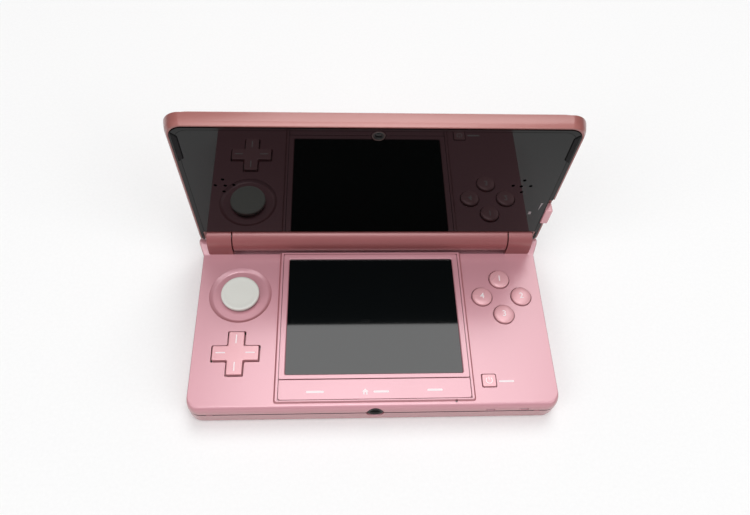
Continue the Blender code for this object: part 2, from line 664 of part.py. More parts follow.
def cross_outline(half, arm):
    """Return a plus sign's points."""
    return [(-arm, -half), (arm, -half), (arm, -arm), (half, -arm), (half, arm), (arm, arm),
            (arm, half), (-arm, half), (-arm, arm), (-half, arm), (-half, -arm), (-arm, -arm)]


def moved(points, x, y):
    """Return an outline at another place."""
    return [(px + x, py + y) for px, py in points]


def face_places():
    """Return the four face buttons' names and middles."""
    return (("north", CONTROL_X, FACE_Y + FACE_OFFSET), ("east", CONTROL_X + FACE_OFFSET, FACE_Y),
            ("south", CONTROL_X, FACE_Y - FACE_OFFSET), ("west", CONTROL_X - FACE_OFFSET, FACE_Y))


def menu_key_places():
    """Return the three menu keys' names and middles in X."""
    return (("select", -MENU_KEY_X), ("home", 0), ("start", MENU_KEY_X))


def make_deck_cover():
    """Make the upper shell with its raised middle, hinge knuckles, dish and button holes."""
    shape = stack(deck_rings())
    half = RECESS_HALF + PLATFORM_MARGIN
    top_half = half - PLATFORM_BEVEL
    front = RECESS_FRONT - PLATFORM_BEVEL
    platform = stack([(rounded_outline(-half, half, front, TROUGH_FRONT + OVERRUN, PLATFORM_BEVEL,
                                       PLATFORM_BEVEL, 2), DECK_UNDER),
                      (rounded_outline(-half, half, front, TROUGH_FRONT + OVERRUN, PLATFORM_BEVEL,
                                       PLATFORM_BEVEL, 2), DECK_TOP + STACK_GAP / 2),
                      (rounded_outline(-top_half, top_half, front + PLATFORM_BEVEL / 2,
                                       TROUGH_FRONT + OVERRUN, PLATFORM_BEVEL / 2, PLATFORM_BEVEL / 2, 2),
                       PLATFORM_TOP)])
    knuckles = both_sides([knuckle(), fin()])
    trough = box(-KNUCKLE_START, KNUCKLE_START, TROUGH_FRONT, BASE_BACK + OVERRUN, TROUGH_FLOOR,
                 PLATFORM_TOP + OVERRUN)
    step_down = box(-HALF_BASE - OVERRUN, HALF_BASE + OVERRUN, HINGE_Y + BARREL_RADIUS,
                    BASE_BACK + OVERRUN, TROUGH_FLOOR, PLATFORM_TOP + OVERRUN)
    wall_half = HALF_BASE - SHELL_WALL
    inner_front = BASE_FRONT + DECK_FRONT_SLOPE + SHELL_WALL / 2
    cavity = prism(rounded_outline(-wall_half, wall_half, inner_front, TROUGH_FRONT - SHELL_WALL,
                                   FRONT_RADIUS / 2, BACK_RADIUS / 4, 2), 0, DECK_UNDER)
    rear_cavity = prism(rounded_outline(-wall_half, wall_half, HINGE_Y - BARREL_RADIUS - 2 * SHELL_WALL,
                                        BASE_BACK - SHELL_WALL, BACK_RADIUS / 4, BACK_RADIUS / 2, 2),
                        0, TROUGH_FLOOR - SHELL_WALL)
    recess = box(-RECESS_HALF, RECESS_HALF, RECESS_FRONT, RECESS_BACK, LEDGE_TOP, PLATFORM_TOP + OVERRUN)
    lcd_half = TOUCH_WIDTH / 2 + PANEL_OVERLAP - STACK_GAP
    lcd_deep = TOUCH_DEPTH / 2 + PANEL_OVERLAP - STACK_GAP
    lcd_hole = box(-lcd_half, lcd_half, TOUCH_MIDDLE - lcd_deep, TOUCH_MIDDLE + lcd_deep, 0, PLATFORM_TOP)
    strip_middle = (STRIP_FRONT + STRIP_BACK) / 2
    key_half, key_deep = MENU_KEY_WIDTH / 2 + KEY_GAP, MENU_KEY_DEPTH / 2 + KEY_GAP
    key_holes = [box(x - key_half, x + key_half, strip_middle - key_deep, strip_middle + key_deep, 0,
                     PLATFORM_TOP) for _, x in menu_key_places()]
    dish_wall = turned([(DISH_FLOOR_RADIUS + DISH_WALL, DISH_FLOOR - DISH_WALL),
                        (DISH_FLOOR_RADIUS + DISH_WALL, DECK_UNDER + STACK_GAP)], centre=(-CONTROL_X, PAD_Y))
    dish = turned([(DISH_FLOOR_RADIUS, DISH_FLOOR), (DISH_RADIUS, DECK_TOP),
                   (DISH_RADIUS + DISH_DEPTH, DECK_TOP + DISH_DEPTH)], centre=(-CONTROL_X, PAD_Y))
    stem_hole = rod(STEM_HOLE_RADIUS, 0, DECK_TOP + OVERRUN, "Z", ROUND_STEPS, (-CONTROL_X, PAD_Y))
    cross_hole = prism(moved(cross_outline(CROSS_SPAN / 2 + CROSS_GAP, CROSS_ARM / 2 + CROSS_GAP),
                             -CONTROL_X, CROSS_Y), 0, DECK_TOP + OVERRUN)
    face_holes = [rod(FACE_RADIUS + KEY_GAP, 0, DECK_TOP + OVERRUN, "Z", ROUND_STEPS, (x, y))
                  for _, x, y in face_places()]
    power_hole = box(POWER_X - POWER_WIDTH / 2 - KEY_GAP, POWER_X + POWER_WIDTH / 2 + KEY_GAP,
                     POWER_Y - POWER_DEPTH / 2 - KEY_GAP, POWER_Y + POWER_DEPTH / 2 + KEY_GAP,
                     0, DECK_TOP + OVERRUN)
    jack = rod(JACK_RADIUS + STACK_GAP, BASE_FRONT - OVERRUN, inner_front + OVERRUN, "Y", SMALL_STEPS,
               (0, PARTING))
    lamps = [box(x - LAMP_WIDTH / 2 - STACK_GAP, x + LAMP_WIDTH / 2 + STACK_GAP, BASE_FRONT - OVERRUN,
                 inner_front + OVERRUN, LAMP_Z - LAMP_HEIGHT / 2 - STACK_GAP,
                 LAMP_Z + LAMP_HEIGHT / 2 + STACK_GAP) for x in LAMP_X]
    sound_hole = rod(MIC_HOLE, 0, DECK_TOP + OVERRUN, "Z", SMALL_STEPS, (MIC_X, MIC_Y))
    mic_room = rod(MIC_RADIUS + STACK_GAP, 0, DECK_UNDER, "Z", SMALL_STEPS, (MIC_X, MIC_Y))
    clutch_holes = both_sides([rod(CLUTCH_RADIUS + STACK_GAP, KNUCKLE_START - OVERRUN,
                                   HALF_BARREL + CLUTCH_REACH, "X", SMALL_STEPS, (HINGE_Y, HINGE_Z))])
    cuts = [recess, lcd_hole, dish, stem_hole, cross_hole, power_hole, jack, sound_hole, mic_room]
    cuts += key_holes + face_holes + lamps + clutch_holes + shoulder_cuts()
    item = piece("deck_cover", shape, PINK, 0.35, 0.3, cuts=[trough, step_down], joins=[platform])
    combine(item, "UNION", knuckles)
    combine(item, "DIFFERENCE", [cavity, rear_cavity])
    combine(item, "UNION", [dish_wall])
    combine(item, "DIFFERENCE", cuts)
    item.data.shade_smooth()
    item.data.set_sharp_from_angle(angle=math.radians(35))


def make_screen_stack():
    """Make the touch screen's frame, the panel and display under it, and the menu strip."""
    half, deep = TOUCH_WIDTH / 2, TOUCH_DEPTH / 2
    front, back = TOUCH_MIDDLE - deep, TOUCH_MIDDLE + deep
    frame_half = BEZEL_WIDTH / 2
    over = PANEL_OVERLAP + STACK_GAP
    bezel = prism(rounded_outline(-frame_half, frame_half, BEZEL_FRONT, BEZEL_BACK, BEZEL_LIP, BEZEL_LIP, 2),
                  LEDGE_TOP + STACK_GAP, PLATFORM_TOP)
    opening = box(-half, half, front, back, 0, PLATFORM_TOP + OVERRUN)
    pocket = box(-half - over, half + over, front - over, back + over, 0, PLATFORM_TOP - BEZEL_LIP)
    piece("touch_bezel", bezel, PINK, 0.35, 0.3, cuts=[opening, pocket])
    reach = PANEL_OVERLAP
    panel = box(-half - reach, half + reach, front - reach, back + reach, PANEL_BOTTOM, PANEL_TOP)
    piece("touch_panel", panel, SCREEN, 0.15)
    reach -= 2 * STACK_GAP
    piece("lower_lcd", box(-half - reach, half + reach, front - reach, back + reach, LCD_BOTTOM, LCD_TOP),
          METAL, 0.4, 0.6)
    strip = prism(rounded_outline(-frame_half, frame_half, STRIP_FRONT, STRIP_BACK, BEZEL_LIP, BEZEL_LIP, 2),
                  LEDGE_TOP + STACK_GAP, PLATFORM_TOP)
    piece("menu_strip", strip, PINK, 0.35, 0.3)


def make_inner_base():
    """Make the mainboard, its shield, the battery and the two rubber membranes."""
    inner = base_outline(SHELL_WALL + FIT_GAP, SHELL_WALL + FIT_GAP)
    board = prism(inner, BOARD_BOTTOM, BOARD_TOP)
    tray = TRAY_HALF + FIT_GAP
    cuts = [box(-CONTROL_X - tray, -CONTROL_X + tray, PAD_Y - tray, PAD_Y + tray, 0, DECK_TOP),
            box(-JACK_BODY_WIDTH / 2 - FIT_GAP, JACK_BODY_WIDTH / 2 + FIT_GAP, BASE_FRONT,
                BASE_FRONT + JACK_LENGTH + FIT_GAP, 0, DECK_TOP),
            box(PORT_X - PORT_WIDTH / 2 - FIT_GAP, PORT_X + PORT_WIDTH / 2 + FIT_GAP,
                BASE_BACK - PORT_DEPTH - FIT_GAP, BASE_BACK, 0, DECK_TOP)]
    rear = SHOULDER_DEPTH + SHOULDER_ROOM + FIT_GAP
    corner = HALF_BASE - SHOULDER_WIDTH - FIT_GAP - SHELL_WALL
    cuts += both_sides([box(corner, HALF_BASE, BASE_BACK - rear, BASE_BACK, 0, DECK_TOP)])
    piece("mainboard", board, BOARD_GREEN, 0.5, cuts=cuts)
    shield_half = BATTERY_DEPTH / 2
    piece("cpu_shield", box(-shield_half, shield_half, TOUCH_MIDDLE - shield_half, TOUCH_MIDDLE + shield_half,
                            BOARD_TOP + STACK_GAP, LCD_BOTTOM - STACK_GAP), METAL, 0.3, 1.0)
    piece("battery_pack", prism(rounded_outline(BATTERY_LEFT, BATTERY_RIGHT,
                                                BATTERY_Y - BATTERY_DEPTH / 2, BATTERY_Y + BATTERY_DEPTH / 2,
                                                OVERRUN, OVERRUN, 2),
                                FLOOR_WALL + FIT_GAP, PLATE_BOTTOM - STACK_GAP), BLACK, 0.5)
    sheet_half = CROSS_SPAN / 2
    piece("dpad_membrane", box(-CONTROL_X - sheet_half, -CONTROL_X + sheet_half, CROSS_Y - sheet_half,
                               CROSS_Y + sheet_half, MEMBRANE_BOTTOM, MEMBRANE_BOTTOM + MEMBRANE_THICKNESS),
          RUBBER_GREY, 0.8)
    dome_top = MEMBRANE_BOTTOM + 2 * MEMBRANE_THICKNESS
    domes = [turned([(FACE_RADIUS, MEMBRANE_BOTTOM), (FACE_RADIUS / 2, dome_top)], SMALL_STEPS, (x, y))
             for _, x, y in face_places()]
    sheet_half = FACE_OFFSET + FACE_RADIUS
    sheet = prism(moved(cross_outline(sheet_half, FACE_RADIUS + FACE_FLANGE), CONTROL_X, FACE_Y),
                  MEMBRANE_BOTTOM, MEMBRANE_BOTTOM + MEMBRANE_THICKNESS)
    piece("face_button_membrane", sheet, RUBBER_GREY, 0.8, joins=domes)


def make_sockets():
    """Make the sockets, ports, lamps and microphone around the base."""
    card_half = GAME_CARD_WIDTH / 2
    card_back = BASE_BACK - SHELL_WALL - FIT_GAP
    card_front = BASE_BACK - SHELL_WALL - GAME_CARD_DEPTH + FIT_GAP
    card_top = GAME_CARD_BOTTOM + GAME_CARD_HEIGHT
    wall = BOARD_BOTTOM - FIT_GAP - card_top
    connector = box(-card_half - wall, card_half + wall, card_front, card_back, GAME_CARD_BOTTOM,
                    BOARD_BOTTOM - STACK_GAP)
    well = box(-card_half, card_half, card_front + SHELL_WALL, BASE_BACK, 0, card_top)
    piece("game_card_connector", connector, BLACK, 0.5, cuts=[well])
    door_low, door_high = memory_door_span()
    socket_left = -HALF_BASE + SHELL_WALL + FIT_GAP
    wall = SHELL_WALL / 2
    socket = box(socket_left, socket_left + MEMORY_DEPTH, door_low, door_high, MEMORY_BOTTOM,
                 BOARD_BOTTOM - STACK_GAP)
    well = box(socket_left - OVERRUN, socket_left + MEMORY_DEPTH - SHELL_WALL, door_low + wall,
               door_high - wall, MEMORY_BOTTOM + wall / 2, MEMORY_TOP - wall)
    piece("sd_card_socket", socket, METAL, 0.3, 1.0, cuts=[well])
    wall_back = BASE_FRONT + DECK_FRONT_SLOPE + SHELL_WALL / 2
    ring = rod(JACK_RADIUS, BASE_FRONT + FIT_GAP, wall_back + SHELL_WALL, "Y", ROUND_STEPS - 8, (0, PARTING))
    body = box(-JACK_BODY_WIDTH / 2, JACK_BODY_WIDTH / 2, wall_back + STACK_GAP,
               BASE_FRONT + JACK_LENGTH, PARTING - JACK_RADIUS + FIT_GAP, PARTING + JACK_BORE / 2)
    bore = rod(JACK_BORE, BASE_FRONT - OVERRUN, BASE_FRONT + JACK_LENGTH - SHELL_WALL, "Y", SMALL_STEPS,
               (0, PARTING))
    piece("headphone_jack", ring, BLACK, 0.35, joins=[body], cuts=[bore])
    port = box(PORT_X - PORT_WIDTH / 2, PORT_X + PORT_WIDTH / 2, BASE_BACK - PORT_DEPTH, BASE_BACK - FIT_GAP,
               PORT_BOTTOM, PORT_BOTTOM + PORT_HEIGHT)
    wall = SHELL_WALL / 2
    well = box(PORT_X - PORT_WIDTH / 2 + wall, PORT_X + PORT_WIDTH / 2 - wall, BASE_BACK - PORT_DEPTH + wall,
               BASE_BACK, PORT_BOTTOM + wall, PORT_BOTTOM + PORT_HEIGHT - wall)
    tongue = box(PORT_X - PORT_WIDTH / 3, PORT_X + PORT_WIDTH / 3, BASE_BACK - PORT_DEPTH,
                 BASE_BACK - SHELL_WALL, PORT_BOTTOM + PORT_HEIGHT / 2 - STACK_GAP,
                 PORT_BOTTOM + PORT_HEIGHT / 2 + STACK_GAP)
    item = piece("charge_port", port, BLACK, 0.4, cuts=[well])
    combine(item, "UNION", [tongue])
    infrared = box(IR_X - IR_WIDTH / 2, IR_X + IR_WIDTH / 2, BASE_BACK - OVERRUN, BASE_BACK - STACK_GAP / 2,
                   SLIDER_Z - IR_HEIGHT / 2, SLIDER_Z + IR_HEIGHT / 2)
    piece("ir_window", infrared, BLACK, 0.1)
    piece("microphone", rod(MIC_RADIUS, DECK_UNDER - STACK_GAP - MIC_HEIGHT, DECK_UNDER - STACK_GAP, "Z",
                            SMALL_STEPS, (MIC_X, MIC_Y)), METAL, 0.4, 0.8)
    lamp_back = BASE_FRONT + DECK_FRONT_SLOPE + SHELL_WALL / 2 + 2 * STACK_GAP
    lenses = [box(x - LAMP_WIDTH / 2, x + LAMP_WIDTH / 2, BASE_FRONT + FIT_GAP, lamp_back + FIT_GAP,
                  LAMP_Z - LAMP_HEIGHT / 2, LAMP_Z + LAMP_HEIGHT / 2) for x in LAMP_X]
    bar = box(LAMP_X[0] - LAMP_WIDTH, LAMP_X[1] + LAMP_WIDTH, lamp_back, lamp_back + SHELL_WALL,
              LAMP_Z - LAMP_HEIGHT, LAMP_Z + LAMP_HEIGHT)
    piece("status_light_guide", bar, CLEAR_GREY, 0.2, joins=lenses)


def make_circle_pad():
    """Make the sliding pad, the carrier that it slides on and the tray that holds both."""
    tray = prism(rounded_outline(-TRAY_HALF, TRAY_HALF, -TRAY_HALF, TRAY_HALF, TRAY_WALL, TRAY_WALL, 2),
                 BOARD_BOTTOM, CARRIER_TOP)
    inner = TRAY_HALF - TRAY_WALL
    floor = CARRIER_BOTTOM - STACK_GAP
    well = box(-inner, inner, -inner, inner, floor, DECK_TOP)
    piece("circle_pad_base", tray, BLACK, 0.6, cuts=[well], at=(-CONTROL_X, PAD_Y, 0))
    slide_y = joint_frame("circle_pad_slide_y", (-CONTROL_X, PAD_Y, 0))
    half = inner - STACK_GAP
    carrier = box(-half, half, -CARRIER_LENGTH / 2, CARRIER_LENGTH / 2, CARRIER_BOTTOM, CARRIER_TOP)
    slot_half = STEM_RADIUS + STACK_GAP
    slot = box(-slot_half - PAD_TRAVEL, slot_half + PAD_TRAVEL, -slot_half, slot_half, 0, DECK_TOP)
    piece("circle_pad_carrier", carrier, RUBBER_GREY, 0.5, cuts=[slot], parent=slide_y)
    slide_x = joint_frame("circle_pad_slide_x", (0, 0, 0), slide_y)
    low = DECK_TOP + PAD_LIFT
    top = low + PAD_THICKNESS
    edge = PAD_DISH / 2
    profile = [(STEM_RADIUS, CARRIER_BOTTOM + STACK_GAP), (STEM_RADIUS, SKIRT_BOTTOM),
               (SKIRT_RADIUS, SKIRT_BOTTOM), (SKIRT_RADIUS, SKIRT_TOP), (STEM_RADIUS, SKIRT_TOP + edge),
               (STEM_RADIUS, low),
               (PAD_RADIUS - edge, low), (PAD_RADIUS, low + edge), (PAD_RADIUS, top - edge),
               (PAD_RADIUS - edge, top), (PAD_RADIUS - 4 * edge, top - edge),
               (PAD_RADIUS / 3, top - PAD_DISH)]
    piece("circle_pad_cap", turned(profile), GREY_WHITE, 0.6, parent=slide_x)


def make_dpad():
    """Make the cross pad, which rocks on a small dome."""
    pivot_z = CROSS_FLANGE_BOTTOM
    rock_x = joint_frame("dpad_rock_x", (-CONTROL_X, CROSS_Y, pivot_z))
    dome_bottom = MEMBRANE_BOTTOM + MEMBRANE_THICKNESS + STACK_GAP - pivot_z
    dome = turned([(PIVOT_RADIUS * 0.8, dome_bottom), (PIVOT_RADIUS, dome_bottom / 2),
                   (PIVOT_RADIUS * 0.6, -STACK_GAP)], SMALL_STEPS)
    piece("dpad_pivot", dome, RUBBER_GREY, 0.6, parent=rock_x)
    rock_y = joint_frame("dpad_rock_y", (0, 0, 0), rock_x)
    half, arm = CROSS_SPAN / 2, CROSS_ARM / 2
    top = DECK_TOP + CROSS_PROUD - pivot_z
    flange_top = CROSS_FLANGE_THICKNESS
    edge = CROSS_BAR_WIDTH / 2
    cross = stack([(cross_outline(half, arm), 0), (cross_outline(half, arm), top - edge),
                   (cross_outline(half - edge, arm - edge), top)])
    flange = turned([(CROSS_FLANGE_RADIUS, 0), (CROSS_FLANGE_RADIUS, flange_top)])
    bars = []
    bar_middle = half - edge - CROSS_BAR_LENGTH / 2 - CROSS_BAR_WIDTH
    for turn in range(4):
        bar = box(bar_middle - CROSS_BAR_LENGTH / 2, bar_middle + CROSS_BAR_LENGTH / 2, -CROSS_BAR_WIDTH / 2,
                  CROSS_BAR_WIDTH / 2, top - edge, top + CROSS_BAR_PROUD)
        bmesh.ops.rotate(bar, matrix=Matrix.Rotation(math.pi / 2 * turn, 3, "Z"), verts=bar.verts)
        bars.append(bar)
    piece("dpad", cross, PINK, 0.35, 0.3, joins=[flange] + bars, parent=rock_y)


def make_buttons():
    """Make the four face buttons, the power button and the plungers of the three menu keys."""
    for name, x, y in face_places():
        top = DECK_TOP + FACE_PROUD
        edge = FACE_FLANGE / 3
        low = FACE_FLANGE_TOP - FACE_FLANGE_THICKNESS
        profile = [(FACE_RADIUS + FACE_FLANGE, low), (FACE_RADIUS + FACE_FLANGE, FACE_FLANGE_TOP),
                   (FACE_RADIUS, FACE_FLANGE_TOP + STACK_GAP / 2), (FACE_RADIUS, top - edge),
                   (FACE_RADIUS - edge, top - edge / 3), (FACE_RADIUS / 2, top)]
        piece(f"face_button_{name}", turned(profile), PINK_LIGHT, 0.3, 0.2, at=(x, y, 0))
    half_x, half_y = POWER_WIDTH / 2, POWER_DEPTH / 2
    flange = FACE_FLANGE / 2
    low = FACE_FLANGE_TOP - FACE_FLANGE_THICKNESS
    key = prism(rounded_outline(-half_x, half_x, -half_y, half_y, flange, flange, 3), low,
                DECK_TOP + POWER_PROUD)
    skirt = box(-half_x - flange, half_x + flange, -half_y - flange, half_y + flange, low, FACE_FLANGE_TOP)
    piece("power_button", key, PINK_LIGHT, 0.3, 0.2, joins=[skirt], at=(POWER_X, POWER_Y, 0))
    key_top = LEDGE_TOP
    for name, x in menu_key_places():
        half_x, half_y = MENU_KEY_WIDTH / 2, MENU_KEY_DEPTH / 2
        plunger = prism(rounded_outline(-half_x, half_x, -half_y, half_y, KEY_GAP, KEY_GAP, 2),
                        key_top - MENU_KEY_HEIGHT, key_top)
        piece(f"{name}_plunger", plunger, RUBBER_GREY, 0.8, at=(x, (STRIP_FRONT + STRIP_BACK) / 2, 0))


def make_side_controls():
    """Make the shoulder buttons, sliders, memory card cover and stylus."""
    bore = rod(PIN_RADIUS + STACK_GAP, 0, DECK_TOP, "Z", SMALL_STEPS, (SHOULDER_PIN_X, SHOULDER_PIN_Y))
    right = shoulder_shape(0, SHOULDER_BOTTOM, SHOULDER_TOP)
    shapes = {"right": (right, bore), "left": (mirrored(right), mirrored(bore))}
    for name, side in (("right", 1), ("left", -1)):
        shape, hole = shapes[name]
        for part_shape in (shape, hole):
            bmesh.ops.translate(part_shape, verts=part_shape.verts,
                                vec=Vector((-side * SHOULDER_PIN_X, -SHOULDER_PIN_Y, 0)))
        piece(f"{name}_shoulder_button", shape, PINK, 0.3, 0.2, cuts=[hole],
              at=(side * SHOULDER_PIN_X, SHOULDER_PIN_Y, 0))
    for name, side in (("right", 1), ("left", -1)):
        pin = rod(PIN_RADIUS, SHOULDER_BOTTOM, SHOULDER_TOP, "Z")
        piece(f"{name}_shoulder_pin", pin, METAL, 0.3, 1.0, at=(side * SHOULDER_PIN_X, SHOULDER_PIN_Y, 0))
    for name, side, y, length in (("volume_slider", -1, VOLUME_Y, VOLUME_LENGTH),
                                  ("wireless_switch", 1, WIRELESS_Y, WIRELESS_LENGTH)):
        inside = HALF_BASE - SHELL_WALL - STACK_GAP
        travel = VOLUME_TRAVEL if side < 0 else WIRELESS_TRAVEL
        low, high = SLIDER_Z - SLIDER_HEIGHT / 2, SLIDER_Z + SLIDER_HEIGHT / 2
        knob = box(inside - SLIDER_PROUD, HALF_BASE + SLIDER_PROUD, -length / 2, length / 2, low, high)
        flange = box(inside - SLIDER_PROUD, inside, -length / 2 - travel / 2, length / 2 + travel / 2,
                     MID_BOTTOM + FIT_GAP, PLATE_BOTTOM - STACK_GAP)
        for shape in (knob, flange):
            if side < 0:
                bmesh.ops.scale(shape, vec=Vector((-1, 1, 1)), verts=shape.verts)
                bmesh.ops.reverse_faces(shape, faces=shape.faces)
        piece(name, knob, PINK_LIGHT, 0.35, 0.2, joins=[flange], at=(0, y, 0))
    door_low, door_high = memory_door_span()
    hinge = joint_frame("sd_slot_hinge", (-HALF_BASE, 0, MEMORY_BOTTOM))
    door = box(0, SHELL_WALL, door_low, door_high, STACK_GAP, MEMORY_HEIGHT - STACK_GAP)
    piece("sd_slot_cover", door, PINK, 0.35, 0.3, parent=hinge)
    holster = joint_frame("stylus_slide", (STYLUS_X, BASE_BACK, STYLUS_Z))
    tip_end = -STYLUS_LENGTH
    joint_y = tip_end + STYLUS_TIP_LENGTH
    barrel = rod(STYLUS_RADIUS, joint_y + STACK_GAP, -FIT_GAP, "Y")
    piece("stylus_barrel", barrel, BLACK, 0.4, parent=holster)
    tip_rings = ((tip_end, 0.35), (tip_end + STYLUS_TIP_LENGTH / 3, 0.8), (joint_y, 0.8))
    tip = loft([[(u, y, v) for u, v in circle(STYLUS_RADIUS * share, SMALL_STEPS)] for y, share in tip_rings])
    piece("stylus_tip", tip, GREY_WHITE, 0.5, parent=holster)


def lid_outline(half, reach, foot=LID_TIP):
    """Return the lid's outline in its own X-Z plane."""
    return rounded_outline(-half, half, foot, reach, TIP_CORNER, LID_CORNER - (LID_WIDTH / 2 - half) / 2)


def foot_space(front, back, foot):
    """Return the space that the lid leaves free for the knuckles and the barrel."""
    return box(-LID_EAR_X, LID_EAR_X, front - OVERRUN, back + OVERRUN, -OVERRUN, foot)


def make_hinge(lid):
    """Make the barrel of the lid, and the clutch and sleeve that join it to the knuckles."""
    barrel = rod(BARREL_RADIUS, -HALF_BARREL, HALF_BARREL, "X", ROUND_STEPS)
    tongue_half = HALF_BARREL - 2 * LID_CORNER
    tongue = box(-tongue_half, tongue_half, COVER_FRONT + STACK_GAP, COVER_FRONT + STACK_GAP + FLOOR_WALL,
                 BARREL_RADIUS / 2, 2 * LID_FOOT)
    bore = rod(BARREL_BORE, -HALF_BARREL - OVERRUN, HALF_BARREL + OVERRUN, "X", ROUND_STEPS - 8)
    piece("hinge_barrel", barrel, PINK, 0.35, 0.3, joins=[tongue], cuts=[bore], parent=lid)
    start, end = HALF_BARREL - CLUTCH_REACH, HALF_BARREL + CLUTCH_REACH - FIT_GAP
    clutch = rod(CLUTCH_RADIUS, start, end, "X", SMALL_STEPS, (HINGE_Y, HINGE_Z))
    piece("hinge_clutch", clutch, METAL, 0.3, 1.0)
    sleeve = rod(CLUTCH_RADIUS, -end, -start, "X", SMALL_STEPS, (HINGE_Y, HINGE_Z))
    hole = rod(CLUTCH_RADIUS - SLEEVE_WALL, -end - OVERRUN, -start + OVERRUN, "X", SMALL_STEPS,
               (HINGE_Y, HINGE_Z))
    piece("hinge_sleeve", sleeve, METAL, 0.3, 1.0, cuts=[hole])


def window_half():
    """Return half the window's width."""
    return HALF_FRAME - WINDOW_BORDER


def speaker_holes():
    """Return the small holes in front of the speakers."""
    places = ((0, 0), (-1, 0), (1, 0), (0, -1), (0, 1))
    holes = []
    for side in (-1, 1):
        for across, up in places:
            centre = (side * SPEAKER_X + across * SPEAKER_SPREAD, SPEAKER_Z + up * SPEAKER_SPREAD)
            holes.append(rod(SPEAKER_HOLE, GLASS_FRONT - OVERRUN, GLASS_FRONT + OVERRUN, "Y", 8, centre))
    return holes


def depth_notch():
    """Return the space of the depth slider in the lid's right edge."""
    return box(DEPTH_NOTCH_X, LID_WIDTH, GLASS_FRONT - OVERRUN, DEPTH_NOTCH_BACK, DEPTH_NOTCH_LOW,
               DEPTH_NOTCH_HIGH)


def bumper_outline(grow):
    """Return the left bumper's four-sided outline."""
    outer = -HALF_FRAME + WINDOW_BORDER / 2
    inner = outer + BUMPER_WIDTH
    return [(outer - grow, BUMPER_LOW - grow), (inner + grow, BUMPER_LOW + BUMPER_CUT - grow),
            (inner + grow, BUMPER_HIGH - BUMPER_CUT + grow), (outer - grow, BUMPER_HIGH + grow)]


